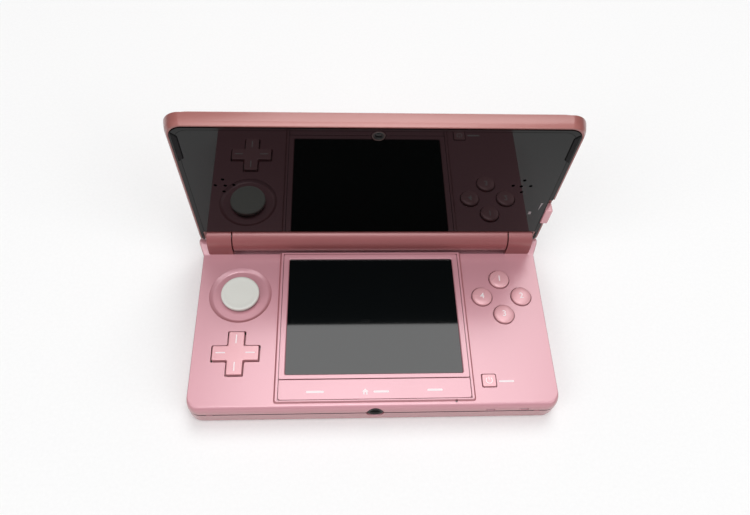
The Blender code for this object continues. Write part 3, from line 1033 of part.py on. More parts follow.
def make_lid(lid):
    """Make the lid's shells, window, display, speakers, cameras, bumpers and slider."""
    half = LID_WIDTH / 2
    cover_shares = ((0.0, 0.23, 0.06, 0.0), (0.38, 0.0, 0.18, 0.15), (0.70, 0.17, 0.49, 0.4),
                    (0.90, 0.53, 0.75, 0.75), (1.0, 1.0, 1.0, 1.0))
    depth = LID_BACK - COVER_FRONT
    cover_layers = [(lid_outline(half - COVER_INSET * inset, LID_REACH - COVER_DROP * drop,
                                 LID_TIP + LID_TIP_RISE * rise), COVER_FRONT + depth * run)
                    for run, inset, drop, rise in cover_shares]
    cover = plate_xz(cover_layers)
    pocket = plate_xz([(lid_outline(half - SHELL_WALL * 2, LID_REACH - SHELL_WALL * 4, LID_FOOT + SHELL_WALL),
                        run) for run in (RIM_BACK, LID_BACK - FLOOR_WALL)])
    tongue_half = HALF_BARREL - 2 * LID_CORNER + STACK_GAP
    slot = box(-tongue_half, tongue_half, RIM_BACK, COVER_FRONT + STACK_GAP + FLOOR_WALL + STACK_GAP,
               0, LID_FOOT + 2 * SHELL_WALL)
    eyes = [rod(OUTER_CAMERA_RADIUS + STACK_GAP / 2, RIM_BACK, LID_BACK + OVERRUN, "Y", ROUND_STEPS - 8,
                (side * OUTER_CAMERA_X, OUTER_CAMERA_Z)) for side in (-1, 1)]
    piece("lid_outer_cover", cover, PINK_LIGHT, 0.25, 0.3, parent=lid,
          cuts=[pocket, foot_space(COVER_FRONT, LID_BACK, LID_FOOT), slot] + eyes)

    camera_hole = rod(INNER_CAMERA_RADIUS + STACK_GAP, GLASS_FRONT - OVERRUN, RIM_BACK + OVERRUN, "Y",
                      ROUND_STEPS - 8, (0, INNER_CAMERA_Z))
    rim_run = RIM_BACK - LID_DEPTH_FRONT
    rim_shares = ((0.0, 1.0, 1.0), (0.28, 0.71, 0.38), (0.6, 0.54, 0.12), (1.0, 0.38, 0.0))
    rim = plate_xz([(lid_outline(half - RIM_INSET * inset, LID_REACH - RIM_DROP * drop),
                     LID_DEPTH_FRONT + rim_run * run) for run, inset, drop in rim_shares])
    frame_back = GLASS_FRONT + FRAME_DEPTH
    seat_half = HALF_FRAME + STACK_GAP
    line_top = LID_FOOT + RIM_LINE
    seat = plate_xz([(lid_outline(seat_half, FRAME_REACH + STACK_GAP, line_top), run)
                     for run in (GLASS_FRONT - OVERRUN, frame_back + STACK_GAP)])
    ears = both_sides([box(LID_EAR_X + SHELL_WALL / 2, seat_half, GLASS_FRONT - OVERRUN,
                           frame_back + STACK_GAP, -OVERRUN, line_top + 2 * TIP_CORNER)])
    core = box(-HALF_FRAME + 2 * SHELL_WALL, HALF_FRAME - 2 * SHELL_WALL, GLASS_FRONT - OVERRUN,
               RIM_BACK + OVERRUN, LID_FOOT + 2 * SHELL_WALL, FRAME_REACH - 2 * SHELL_WALL)
    piece("lid_rim_frame", rim, PINK, 0.35, 0.3, parent=lid,
          cuts=[seat, core] + ears + [foot_space(LID_DEPTH_FRONT, RIM_BACK, LID_FOOT), depth_notch(),
                                      camera_hole.copy()])

    frame = plate_xz([(lid_outline(HALF_FRAME, FRAME_REACH), run) for run in (GLASS_FRONT, frame_back)])
    glass_half = window_half()
    glass_low, glass_high = BARREL_KEEPOUT + STACK_GAP + WINDOW_BORDER / 3, FRAME_REACH - FLOOR_WALL

    def glass_plate(grow, front, back):
        """Return the window's plate, grown by a gap."""
        outline = rounded_outline(-glass_half - grow, glass_half + grow, glass_low - grow, glass_high + grow,
                                  TIP_CORNER + grow, LID_CORNER - WINDOW_BORDER + grow)
        return plate_xz([(outline, front), (outline, back)])

    glass_back = GLASS_FRONT + WINDOW_THICKNESS
    seat = glass_plate(STACK_GAP / 2, GLASS_FRONT - OVERRUN, glass_back + STACK_GAP)
    hole_half = glass_half - 2 * SHELL_WALL
    core = box(-hole_half, hole_half, GLASS_FRONT - OVERRUN, frame_back + OVERRUN,
               glass_low + SHELL_WALL, glass_high - SHELL_WALL)
    ear = LID_EAR_X + SHELL_WALL / 2 + STACK_GAP
    foot = box(-ear, ear, GLASS_FRONT - OVERRUN, frame_back + OVERRUN, -OVERRUN, BARREL_KEEPOUT + STACK_GAP)
    bumper_depth = GLASS_FRONT + WINDOW_THICKNESS
    bumper_spaces = both_sides([plate_xz([(bumper_outline(STACK_GAP / 2), run)
                                          for run in (GLASS_FRONT - OVERRUN, bumper_depth)])])
    piece("lid_bezel", frame, BLACK, 0.2, parent=lid,
          cuts=[seat, core, foot, depth_notch(), camera_hole.copy()]
          + [space.copy() for space in bumper_spaces])
    piece("lid_window", glass_plate(0, GLASS_FRONT, glass_back), SCREEN, 0.05,
          cuts=speaker_holes() + [camera_hole] + bumper_spaces, parent=lid)
    pads = both_sides([plate_xz([(bumper_outline(-STACK_GAP / 2), run)
                                 for run in (GLASS_FRONT - BUMPER_PROUD, bumper_depth - STACK_GAP)])])
    for name, pad in zip(("left", "right"), pads):
        piece(f"lid_bumper_{name}", pad, BLACK, 0.8, parent=lid)

    lcd_half = TOP_LCD_WIDTH / 2
    display_front = glass_back + STACK_GAP
    piece("upper_lcd", box(-lcd_half, lcd_half, display_front, display_front + TOP_LCD_THICKNESS,
                           TOP_LCD_MIDDLE - TOP_LCD_HEIGHT / 2, TOP_LCD_MIDDLE + TOP_LCD_HEIGHT / 2),
          METAL, 0.4, 0.6, parent=lid)
    speakers = both_sides([box(SPEAKER_X - SPEAKER_WIDTH / 2, SPEAKER_X + SPEAKER_WIDTH / 2, display_front,
                               display_front + SPEAKER_THICKNESS, SPEAKER_Z - SPEAKER_HEIGHT / 2,
                               SPEAKER_Z + SPEAKER_HEIGHT / 2)])
    for name, speaker in zip(("right", "left"), speakers):
        piece(f"{name}_speaker", speaker, BLACK, 0.6, parent=lid)
    camera = rod(INNER_CAMERA_RADIUS, GLASS_FRONT, GLASS_FRONT + INNER_CAMERA_DEPTH, "Y", ROUND_STEPS - 8,
                 (0, INNER_CAMERA_Z))
    piece("inner_camera", camera, BLACK, 0.2, parent=lid)
    eye_front = LID_BACK - OUTER_CAMERA_DEPTH
    eyes = both_sides([rod(OUTER_CAMERA_RADIUS, eye_front, LID_BACK + OUTER_CAMERA_PROUD, "Y",
                           ROUND_STEPS - 8, (OUTER_CAMERA_X, OUTER_CAMERA_Z))])
    board_half = OUTER_CAMERA_X + OUTER_CAMERA_RADIUS
    board = box(-board_half, board_half, RIM_BACK + STACK_GAP, eye_front + STACK_GAP / 2,
                OUTER_CAMERA_Z - CAMERA_BOARD_HEIGHT, OUTER_CAMERA_Z + FIT_GAP)
    piece("outer_camera_module", board, BLACK, 0.15, joins=eyes, parent=lid)
    cable_end = HALF_BARREL + CLUTCH_REACH / 2
    cable = rod(CABLE_RADIUS, -cable_end, -HALF_BARREL / 2, "X")
    piece("lid_flex_cable", cable, BOARD_GREEN, 0.6, parent=lid)
    slide = joint_frame("depth_slide", (0, 0, DEPTH_NOTCH_LOW + STACK_GAP), lid)
    knob = box(DEPTH_NOTCH_X + STACK_GAP, half - SHELL_WALL, GLASS_FRONT - DEPTH_KNOB_PROUD,
               DEPTH_NOTCH_BACK - STACK_GAP, 0, DEPTH_KNOB_LENGTH)
    piece("depth_slider", knob, PINK_LIGHT, 0.4, 0.3, parent=slide)


def main():
    """Build every piece of the console."""
    clear_scene()
    make_bottom_cover()
    make_mid_housing()
    make_deck_cover()
    make_screws()
    make_screen_stack()
    make_inner_base()
    make_sockets()
    make_circle_pad()
    make_dpad()
    make_buttons()
    make_side_controls()
    lid = joint_frame("lid_hinge", (0, HINGE_Y, HINGE_Z), lean=LID_LEAN)
    make_hinge(lid)
    make_lid(lid)


main()
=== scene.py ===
"""Studio picture of a pearl pink clamshell handheld console, open at a right angle.

Lengths are in metres, in the frame of the loaded model: +X to the player's right, +Y from the
player to the hinge, +Z up. Places come from the model's own pieces, and the sizes that the
finish adds, such as edge radii and strokes, are fields of the classes.
"""

import logging
import math
from dataclasses import dataclass, field
from enum import Enum
from typing import Iterable, Sequence

import bmesh
import bpy
from mathutils import Matrix, Vector


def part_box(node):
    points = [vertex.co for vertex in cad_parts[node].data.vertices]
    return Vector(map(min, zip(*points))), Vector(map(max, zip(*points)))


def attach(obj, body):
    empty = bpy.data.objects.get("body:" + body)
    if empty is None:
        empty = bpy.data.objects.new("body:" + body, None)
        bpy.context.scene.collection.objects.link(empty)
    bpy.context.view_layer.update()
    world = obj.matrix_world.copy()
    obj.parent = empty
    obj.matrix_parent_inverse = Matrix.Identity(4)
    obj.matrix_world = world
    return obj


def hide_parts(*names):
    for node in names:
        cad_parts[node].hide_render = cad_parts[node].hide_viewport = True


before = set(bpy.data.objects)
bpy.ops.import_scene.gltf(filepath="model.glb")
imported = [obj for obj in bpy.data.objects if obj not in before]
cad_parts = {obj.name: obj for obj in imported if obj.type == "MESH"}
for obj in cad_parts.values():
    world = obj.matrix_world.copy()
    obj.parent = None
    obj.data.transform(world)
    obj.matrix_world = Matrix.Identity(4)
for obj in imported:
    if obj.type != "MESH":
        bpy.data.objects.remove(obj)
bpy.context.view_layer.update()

LOG = logging.getLogger("console")
MM = 0.001
Point = tuple[float, float]
Ring = Sequence[tuple[float, float, float]]


def linear(code: str) -> tuple[float, float, float, float]:
    """Turn an sRGB hex code into a linear colour.

    Args:
        code: six hex digits after a hash mark.

    Returns:
        Red, green, blue and alpha.
    """
    parts = [int(code[i:i + 2], 16) / 255 for i in (1, 3, 5)]
    tone = [p / 12.92 if p <= 0.04045 else ((p + 0.055) / 1.055) ** 2.4 for p in parts]
    return tone[0], tone[1], tone[2], 1.0


def add_node(tree: bpy.types.NodeTree, kind: str, inputs: dict | None = None,
             **settings: object) -> bpy.types.Node:
    """Add a node with its settings and links.

    Args:
        tree: the node tree that gets it.
        kind: the node's type.
        inputs: a value or an output socket for each input, by name or number.
        **settings: the node's own properties.

    Returns:
        The new node.
    """
    node = tree.nodes.new(kind)
    for name, value in settings.items():
        setattr(node, name, value)
    for key, value in (inputs or {}).items():
        if isinstance(value, bpy.types.NodeSocket):
            tree.links.new(value, node.inputs[key])
        else:
            node.inputs[key].default_value = value
    return node


class Texture(Enum):
    """How a moulded or coated surface breaks up the light."""

    PEARL = "pearl"
    SATIN = "satin"
    GLOSS = "gloss"
    GRAIN = "grain"
    BRUSHED = "brushed"


@dataclass(frozen=True)
class Finish:
    """A surface: its colours, its gloss, its fine relief and any slant colour, which is painted shade."""

    name: str
    base: str
    second: str
    roughness: float
    texture: Texture = Texture.SATIN
    metallic: float = 0.0
    coat: float = 0.0
    grain: float = 0.3 * MM
    relief: float = 0.02
    specular: float = 0.5
    coat_haze: float = 0.12
    # Painted shade: a darker colour mixed in on faces seen at a slant.
    slant_shade: str | None = None

    def material(self) -> bpy.types.Material:
        """Return the material, built on its first use.

        Returns:
            The material, shared by every piece with this finish.
        """
        made = bpy.data.materials.get(self.name)
        if made is not None:
            return made
        made = bpy.data.materials.new(self.name)
        made.use_nodes = True
        tree = made.node_tree
        shader = tree.nodes["Principled BSDF"]
        place = add_node(tree, "ShaderNodeTexCoord").outputs["Object"]
        speck = add_node(tree, "ShaderNodeTexNoise",
                         {"Vector": place, "Scale": 1 / self.grain, "Detail": 2.0})
        cloud = add_node(tree, "ShaderNodeTexNoise",
                         {"Vector": place, "Scale": 1 / (60 * MM), "Detail": 3.0})
        pull = 0.5 if self.texture is Texture.PEARL else 0.25
        blend = add_node(tree, "ShaderNodeMath", {0: speck.outputs["Fac"], 1: pull}, operation="MULTIPLY")
        drift = add_node(tree, "ShaderNodeMath", {0: cloud.outputs["Fac"], 1: 1 - pull,
                                                  2: blend.outputs[0]},
                         operation="MULTIPLY_ADD")
        colour = add_node(tree, "ShaderNodeMix", {0: drift.outputs[0], 6: linear(self.base),
                                                  7: linear(self.second)}, data_type="RGBA")
        tint = colour.outputs[2]
        # Painted shade: the slant colour darkens faces seen at a slant, through the layer weight's facing.
        if self.slant_shade:
            slant = add_node(tree, "ShaderNodeLayerWeight", {"Blend": 0.45}).outputs["Facing"]
            slant_shaded_tint = add_node(tree, "ShaderNodeMix", {0: slant, 6: tint, 7: linear(self.slant_shade)},
                            data_type="RGBA")
            tint = slant_shaded_tint.outputs[2]
        tree.links.new(tint, shader.inputs["Base Color"])
        low, high = self.roughness * 0.85, min(1.0, self.roughness * 1.2)
        haze = add_node(tree, "ShaderNodeMapRange",
                        {0: cloud.outputs["Fac"], 1: 0.3, 2: 0.7, 3: low, 4: high})
        tree.links.new(haze.outputs[0], shader.inputs["Roughness"])
        shader.inputs["Metallic"].default_value = self.metallic
        shader.inputs["Specular IOR Level"].default_value = self.specular
        shader.inputs["Coat Weight"].default_value = self.coat
        shader.inputs["Coat Roughness"].default_value = self.coat_haze
        source = speck.outputs["Fac"]
        if self.texture is Texture.BRUSHED:
            stretch = add_node(tree, "ShaderNodeMapping", {"Vector": place, "Scale": (1.0, 1.0, 0.05)})
            lines = add_node(tree, "ShaderNodeTexNoise",
                             {"Vector": stretch.outputs[0], "Scale": 1 / self.grain})
            source = lines.outputs["Fac"]
        if self.texture is not Texture.GLOSS:
            bump = add_node(tree, "ShaderNodeBump", {"Height": source, "Strength": self.relief * 5,
                                                     "Distance": self.grain * 0.2})
            tree.links.new(bump.outputs[0], shader.inputs["Normal"])
        return made


# Pearl paint on moulded ABS: mica flakes under a satin clear coat, which turns pale towards the light. Its
# dark red slant colour is painted shade on faces seen at a slant, such as the front slopes.
PEARL_PINK = Finish("pearl_painted_abs", "#D497A3", "#DCA6B1", 0.34, Texture.PEARL,
                    metallic=0.12, coat=1.0, grain=0.12 * MM, relief=0.03, coat_haze=0.22, slant_shade="#963C38")
# The same paint under a harder clear coat on the outside of the lid, with its slant colour as painted shade
PEARL_GLOSS = Finish("pearl_coated_abs", "#CB8C8A", "#D29893", 0.3, Texture.PEARL,
                     metallic=0.12, coat=1.0, grain=0.12 * MM, relief=0.015, coat_haze=0.1, slant_shade="#B4685F")
# The rim of the lid in a darker, warmer copy of the pearl paint: painted shade that matches how dark the rim
# shows beside the black frame, with its slant colour as painted shade too
PEARL_RIM_SHADED = Finish("pearl_rim_abs_painted_shade", "#A5635E", "#AD6B66", 0.36, Texture.PEARL,
                   metallic=0.12, coat=0.7, grain=0.12 * MM, relief=0.03, coat_haze=0.2, slant_shade="#6E322C")
# A darker copy of the pearl paint on the round hinge pieces: painted shade for the hinge, which sits in shade
# by the lid, with its slant colour as painted shade too
PEARL_SHADED = Finish("pearl_abs_painted_shade", "#A45C5E", "#AC6668", 0.4, Texture.PEARL,
                    metallic=0.12, coat=0.6, grain=0.15 * MM, relief=0.03, coat_haze=0.25, slant_shade="#7A3834")
# Moulded keys, a little lighter and glossier than the case
KEY_PINK = Finish("moulded_key_abs", "#DDA1A8", "#E5ADB4", 0.28, Texture.SATIN,
                  metallic=0.1, coat=0.3, grain=0.2 * MM, relief=0.01)
# Soft-touch coated elastomer, warm grey white with a dry sheen
PAD_GREY = Finish("soft_touch_elastomer", "#DADAD3", "#E2E2DC", 0.62, Texture.GRAIN,
                  grain=0.15 * MM, relief=0.06)
# Polished black acrylic with a hard coat
PIANO_BLACK = Finish("polished_black_acrylic", "#050505", "#080808", 0.08, Texture.GLOSS,
                     specular=0.3)
# Cover glass over a dark display, a mirror at low angles
SCREEN_GLASS = Finish("display_cover_glass", "#030404", "#050606", 0.025, Texture.GLOSS,
                      specular=0.33)
# Resistive touch film, which mirrors more softly than glass and looks grey under the light
TOUCH_FILM = Finish("resistive_touch_film", "#07090A", "#0A0D0E", 0.05, Texture.GLOSS,
                    specular=0.48)
# Matte moulded black plastic with spark-eroded grain
BLACK_ABS = Finish("spark_grained_black_abs", "#151515", "#1C1C1C", 0.5, Texture.GRAIN,
                   grain=0.2 * MM, relief=0.08)
# Black moulded rubber of the bumpers; the same black also fills the seam of the base as painted shade
BLACK_RUBBER_AND_SHADE = Finish("black_rubber_and_painted_shade", "#08080A", "#0D0D0E", 0.75, Texture.GRAIN,
                      grain=0.2 * MM, relief=0.06, specular=0.25)
# Translucent grey silicone of the key mats
GREY_SILICONE = Finish("grey_silicone_mat", "#77787A", "#828385", 0.6, Texture.GRAIN,
                       relief=0.04)
# Nickel plated steel of screws, pins and shields
NICKEL_STEEL = Finish("nickel_plated_steel", "#B9B9BC", "#C6C6C8", 0.28, Texture.BRUSHED,
                      metallic=1.0, grain=0.1 * MM, relief=0.03)
# Green solder mask over glass fibre board
SOLDER_MASK = Finish("green_solder_mask", "#14532D", "#1B6337", 0.4, Texture.GRAIN,
                     coat=0.2, grain=0.4 * MM)
# Frosted light guide of clear acrylic
LIGHT_GUIDE = Finish("frosted_clear_acrylic", "#9C8A90", "#A8979C", 0.3, Texture.SATIN,
                     grain=0.2 * MM)
# Pale pad-printed ink of the marks
PALE_INK = Finish("pale_printed_ink", "#F1E4E6", "#F6ECEE", 0.5, Texture.SATIN,
                  grain=0.2 * MM)
# Anodised ring round the inner lens
LENS_RING = Finish("bronze_anodised_ring", "#4A3A38", "#544341", 0.35, Texture.SATIN,
                   metallic=0.3, grain=0.2 * MM, relief=0.01)
# Dull pink ink of the faint marks on the window
FAINT_INK = Finish("faint_printed_ink", "#8C8486", "#958D8F", 0.5, Texture.SATIN,
                   grain=0.2 * MM)


class Shape:
    """A mesh under construction, in world coordinates."""

    def __init__(self, mesh: bmesh.types.BMesh) -> None:
        """Keep the mesh.

        Args:
            mesh: the closed mesh.
        """
        self.mesh = mesh

    @classmethod
    def loft(cls, rings: Sequence[Ring]) -> "Shape":
        """Return a closed shape through rings with equal counts.

        Args:
            rings: the rings from one end to the other.

        Returns:
            The shape, with flat ends.
        """
        mesh = bmesh.new()
        rows = [[mesh.verts.new(point) for point in ring] for ring in rings]
        mesh.faces.new(rows[0][::-1])
        for low, high in zip(rows, rows[1:]):
            for i in range(len(low)):
                j = (i + 1) % len(low)
                mesh.faces.new((low[i], low[j], high[j], high[i]))
        mesh.faces.new(rows[-1])
        bmesh.ops.recalc_face_normals(mesh, faces=mesh.faces)
        return cls(mesh)

    @classmethod
    def layers(cls, stack: Sequence[tuple[Sequence[Point], float]], axis: str = "Z") -> "Shape":
        """Return a shape through flat outlines.

        Args:
            stack: each outline with its place along the axis.
            axis: X, Y or Z. The outline's points are the other two coordinates in order.

        Returns:
            The closed shape.
        """
        order = {"X": lambda u, v, w: (w, u, v), "Y": lambda u, v, w: (u, w, v), "Z": lambda u, v,
                 w: (u, v, w)}
        place = order[axis]
        return cls.loft([[place(u, v, run) for u, v in outline] for outline, run in stack])

    @classmethod
    def slab(cls, outline: Sequence[Point], low: float, high: float, axis: str = "Z") -> "Shape":
        """Return one outline carried along an axis.

        Args:
            outline: its points.
            low: where it starts.
            high: where it ends.
            axis: X, Y or Z.

        Returns:
            The closed shape.
        """
        return cls.layers([(outline, low), (outline, high)], axis)

    @classmethod
    def rod(cls, radius: float, low: float, high: float, centre: Point, steps: int = 72,
            axis: str = "Z") -> "Shape":
        """Return a round rod.

        Args:
            radius: its radius.
            low: where it starts.
            high: where it ends.
            centre: the other two coordinates of its axis.
            steps: sides of the circle.
            axis: X, Y or Z.

        Returns:
            The closed shape.
        """
        return cls.slab(circle(radius, steps, centre), low, high, axis)

    @classmethod
    def box(cls, low: Sequence[float], high: Sequence[float]) -> "Shape":
        """Return a block between two corners.

        Args:
            low: its lowest corner.
            high: its highest corner.

        Returns:
            The block.
        """
        outline = [(low[0], low[1]), (high[0], low[1]), (high[0], high[1]), (low[0], high[1])]
        return cls.layers([(outline, low[2]), (outline, high[2])])

    @classmethod
    def turned(cls, profile: Sequence[Point], centre: Point, steps: int = 72, axis: str = "Z") -> "Shape":
        """Return a shape of revolution.

        Args:
            profile: radius and place along the axis, from one end to the other.
            centre: the other two coordinates of the axis.
            steps: sides of the circle.
            axis: X, Y or Z.

        Returns:
            The closed shape.
        """
        return cls.layers([(circle(radius, steps, centre), run) for radius, run in profile], axis)

    def copy(self) -> "Shape":
        """Return a copy."""
        return Shape(self.mesh.copy())

    def mirrored(self) -> "Shape":
        """Return a copy mirrored across X = 0.

        Returns:
            The twin, with its faces outwards.
        """
        twin = self.mesh.copy()
        bmesh.ops.scale(twin, vec=Vector((-1, 1, 1)), verts=twin.verts)
        bmesh.ops.reverse_faces(twin, faces=twin.faces)
        return Shape(twin)

    def moved(self, matrix: Matrix) -> "Shape":
        """Move the shape and return it.

        Args:
            matrix: the turn and shift.

        Returns:
            The same shape.
        """
        bmesh.ops.transform(self.mesh, matrix=matrix, verts=self.mesh.verts)
        return self

    def to_object(self, name: str) -> bpy.types.Object:
        """Link the shape as an object and free it.

        Args:
            name: the object's name.

        Returns:
            The object, at the origin.
        """
        data = bpy.data.meshes.new(name)
        self.mesh.to_mesh(data)
        self.mesh.free()
        item = bpy.data.objects.new(name, data)
        bpy.context.scene.collection.objects.link(item)
        return item


def circle(radius: float, steps: int = 72, centre: Point = (0.0, 0.0)) -> list[Point]:
    """Return the points of a circle.

    Args:
        radius: its radius.
        steps: how many points it has.
        centre: its middle.

    Returns:
        The points, anticlockwise.
    """
    turn = 2 * math.pi / steps
    return [(centre[0] + radius * math.cos(turn * i), centre[1] + radius * math.sin(turn * i))
            for i in range(steps)]


def rounded(left: float, right: float, low: float, high: float, low_radius: float, high_radius: float,
            steps: int = 12) -> list[Point]:
    """Return a rounded rectangle.

    Args:
        left: lowest first coordinate.
        right: highest first coordinate.
        low: lowest second coordinate.
        high: highest second coordinate.
        low_radius: radius of the two low corners.
        high_radius: radius of the two high corners.
        steps: segments in each corner.

    Returns:
        The points, anticlockwise from the low left corner.
    """
    corners = ((left + low_radius, low + low_radius, low_radius, 180),
               (right - low_radius, low + low_radius, low_radius, 270),
               (right - high_radius, high - high_radius, high_radius, 0),
               (left + high_radius, high - high_radius, high_radius, 90))
    points = []
    for centre_x, centre_y, radius, start in corners:
        for step in range(steps + 1):
            angle = math.radians(start + 90 * step / steps)
            points.append((centre_x + radius * math.cos(angle), centre_y + radius * math.sin(angle)))
    return points


def baked(item: bpy.types.Object) -> None:
    """Replace an object's mesh by its evaluated one and drop its modifiers.

    Args:
        item: the object that changes.
    """
    graph = bpy.context.evaluated_depsgraph_get()
    data = bpy.data.meshes.new_from_object(item.evaluated_get(graph))
    item.modifiers.clear()
    item.data = data


@dataclass
class Workshop:
    """Turns shapes into dressed pieces of the model."""

    edge: float = 0.16 * MM
    segments: int = 3
    made: list[str] = field(default_factory=list)

    def carve(self, item: bpy.types.Object, operation: str, tools: Iterable[Shape]) -> None:
        """Cut shapes out of an object or join them to it.

        Args:
            item: the object that changes.
            operation: DIFFERENCE, UNION or INTERSECT.
            tools: the shapes, which are used up.
        """
        helpers = []
        for number, tool in enumerate(tools):
            helper = tool.to_object(f"tool_{number}")
            modifier = item.modifiers.new(helper.name, "BOOLEAN")
            modifier.operation = operation
            modifier.object = helper
            helpers.append(helper)
        baked(item)
        for helper in helpers:
            bpy.data.objects.remove(helper, do_unlink=True)

    def soften(self, item: bpy.types.Object, width: float, angle: float = 38.0) -> None:
        """Round the sharp edges of an object.

        Args:
            item: the object that changes.
            width: the width of the rounding.
            angle: edges that turn by more degrees than this are rounded.
        """
        modifier = item.modifiers.new("soft_edges", "BEVEL")
        modifier.width = width
        modifier.segments = self.segments
        modifier.limit_method = "ANGLE"
        modifier.angle_limit = math.radians(angle)
        modifier.harden_normals = False
        modifier.use_clamp_overlap = True
        baked(item)

    def finish(self, item: bpy.types.Object, finish: Finish, body: str, stands_for: Sequence[str] = (),
               slot: str | None = None, smooth: float = 30.0) -> bpy.types.Object:
        """Dress a piece and hang it on its body.

        Args:
            item: the piece, at the origin with its place in its mesh.
            finish: its surface.
            body: the body that it rides on.
            stands_for: the nodes that it replaces.
            slot: not used.
            smooth: edges that turn by more degrees than this stay sharp.

        Returns:
            The piece.
        """
        mesh = bmesh.new()
        mesh.from_mesh(item.data)
        bmesh.ops.remove_doubles(mesh, verts=mesh.verts, dist=0.002 * MM)
        bmesh.ops.dissolve_degenerate(mesh, edges=mesh.edges, dist=0.001 * MM)
        mesh.to_mesh(item.data)
        mesh.free()
        item.data.materials.clear()
        item.data.materials.append(finish.material())
        for polygon in item.data.polygons:
            polygon.material_index = 0
        item.data.shade_smooth()
        item.data.set_sharp_from_angle(angle=math.radians(smooth))
        weighted = item.modifiers.new("even_normals", "WEIGHTED_NORMAL")
        weighted.keep_sharp = True
        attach(item, body)
        if stands_for:
            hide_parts(*stands_for)
        self.made.append(item.name)
        LOG.info("%s on %s: %d faces", item.name, body, len(item.data.polygons))
        return item

    def build(self, name: str, shape: Shape, finish: Finish, body: str, cuts: Iterable[Shape] = (),
              joins: Iterable[Shape] = (), edge: float | None = None,
              **options: object) -> bpy.types.Object:
        """Make a piece: join, cut, round its edges and dress it.

        Args:
            name: the piece's name.
            shape: its main shape.
            finish: its surface.
            body: the body that it rides on.
            cuts: shapes taken away.
            joins: shapes added first.
            edge: the width of the rounding, or zero for none.

        Returns:
            The piece.
        """
        item = shape.to_object(name)
        joins, cuts = list(joins), list(cuts)
        if joins:
            self.carve(item, "UNION", joins)
        if cuts:
            self.carve(item, "DIFFERENCE", cuts)
        width = self.edge if edge is None else edge
        if width > 0:
            self.soften(item, width)
        item.name = name
        return self.finish(item, finish, body, **options)

    def refined(self, node: str, name: str, finish: Finish, body: str, edge: float | None = None,
                slot: str | None = None) -> bpy.types.Object:
        """Make a softened copy of a plain node, which it replaces.

        Args:
            node: the node's name.
            name: the piece's name.
            finish: its surface.
            body: the body that it rides on.
            edge: the width of the rounding.
            slot: the record's material slot.

        Returns:
            The piece.
        """
        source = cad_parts[node]
        mesh = bmesh.new()
        mesh.from_mesh(source.data)
        bmesh.ops.remove_doubles(mesh, verts=mesh.verts, dist=0.002 * MM)
        bmesh.ops.dissolve_limit(mesh, angle_limit=math.radians(1.0), verts=mesh.verts, edges=mesh.edges)
        item = Shape(mesh).to_object(name)
        self.soften(item, self.edge if edge is None else edge)
        low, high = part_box(node)
        for vertex in item.data.vertices:
            vertex.co = Vector(max(a, min(b, c)) for a, b, c in zip(low, high, vertex.co))
        return self.finish(item, finish, body, [node], slot)


def pair(shapes: Iterable[Shape]) -> list[Shape]:
    """Return the shapes with their twins across X = 0.

    Args:
        shapes: the shapes on the right.

    Returns:
        The shapes, then their twins.
    """
    kept = list(shapes)
    return kept + [shape.mirrored() for shape in kept]


def smooth_table(rows: Sequence[Sequence[float]], count: int) -> list[list[float]]:
    """Return a table's rows resampled along a smooth curve through them.

    Args:
        rows: the rows, with the run as first column.
        count: how many rows come back.

    Returns:
        The new rows, evenly spaced in the run.
    """
    result = []
    last = len(rows) - 1
    for step in range(count):
        run = rows[0][0] + (rows[-1][0] - rows[0][0]) * step / (count - 1)
        at = max(i for i in range(last) if rows[i][0] <= run + 1e-9)
        before, low, high, after = rows[max(at - 1, 0)], rows[at], rows[at + 1], rows[min(at + 2, last)]
        share = (run - low[0]) / (high[0] - low[0])
        line = [run]
        for a, b, c, d in list(zip(before, low, high, after))[1:]:
            line.append(0.5 * (2 * b + (c - a) * share + (2 * a - 5 * b + 4 * c - d) * share ** 2
                               + (3 * b - a - 3 * c + d) * share ** 3))
        result.append(line)
    return result


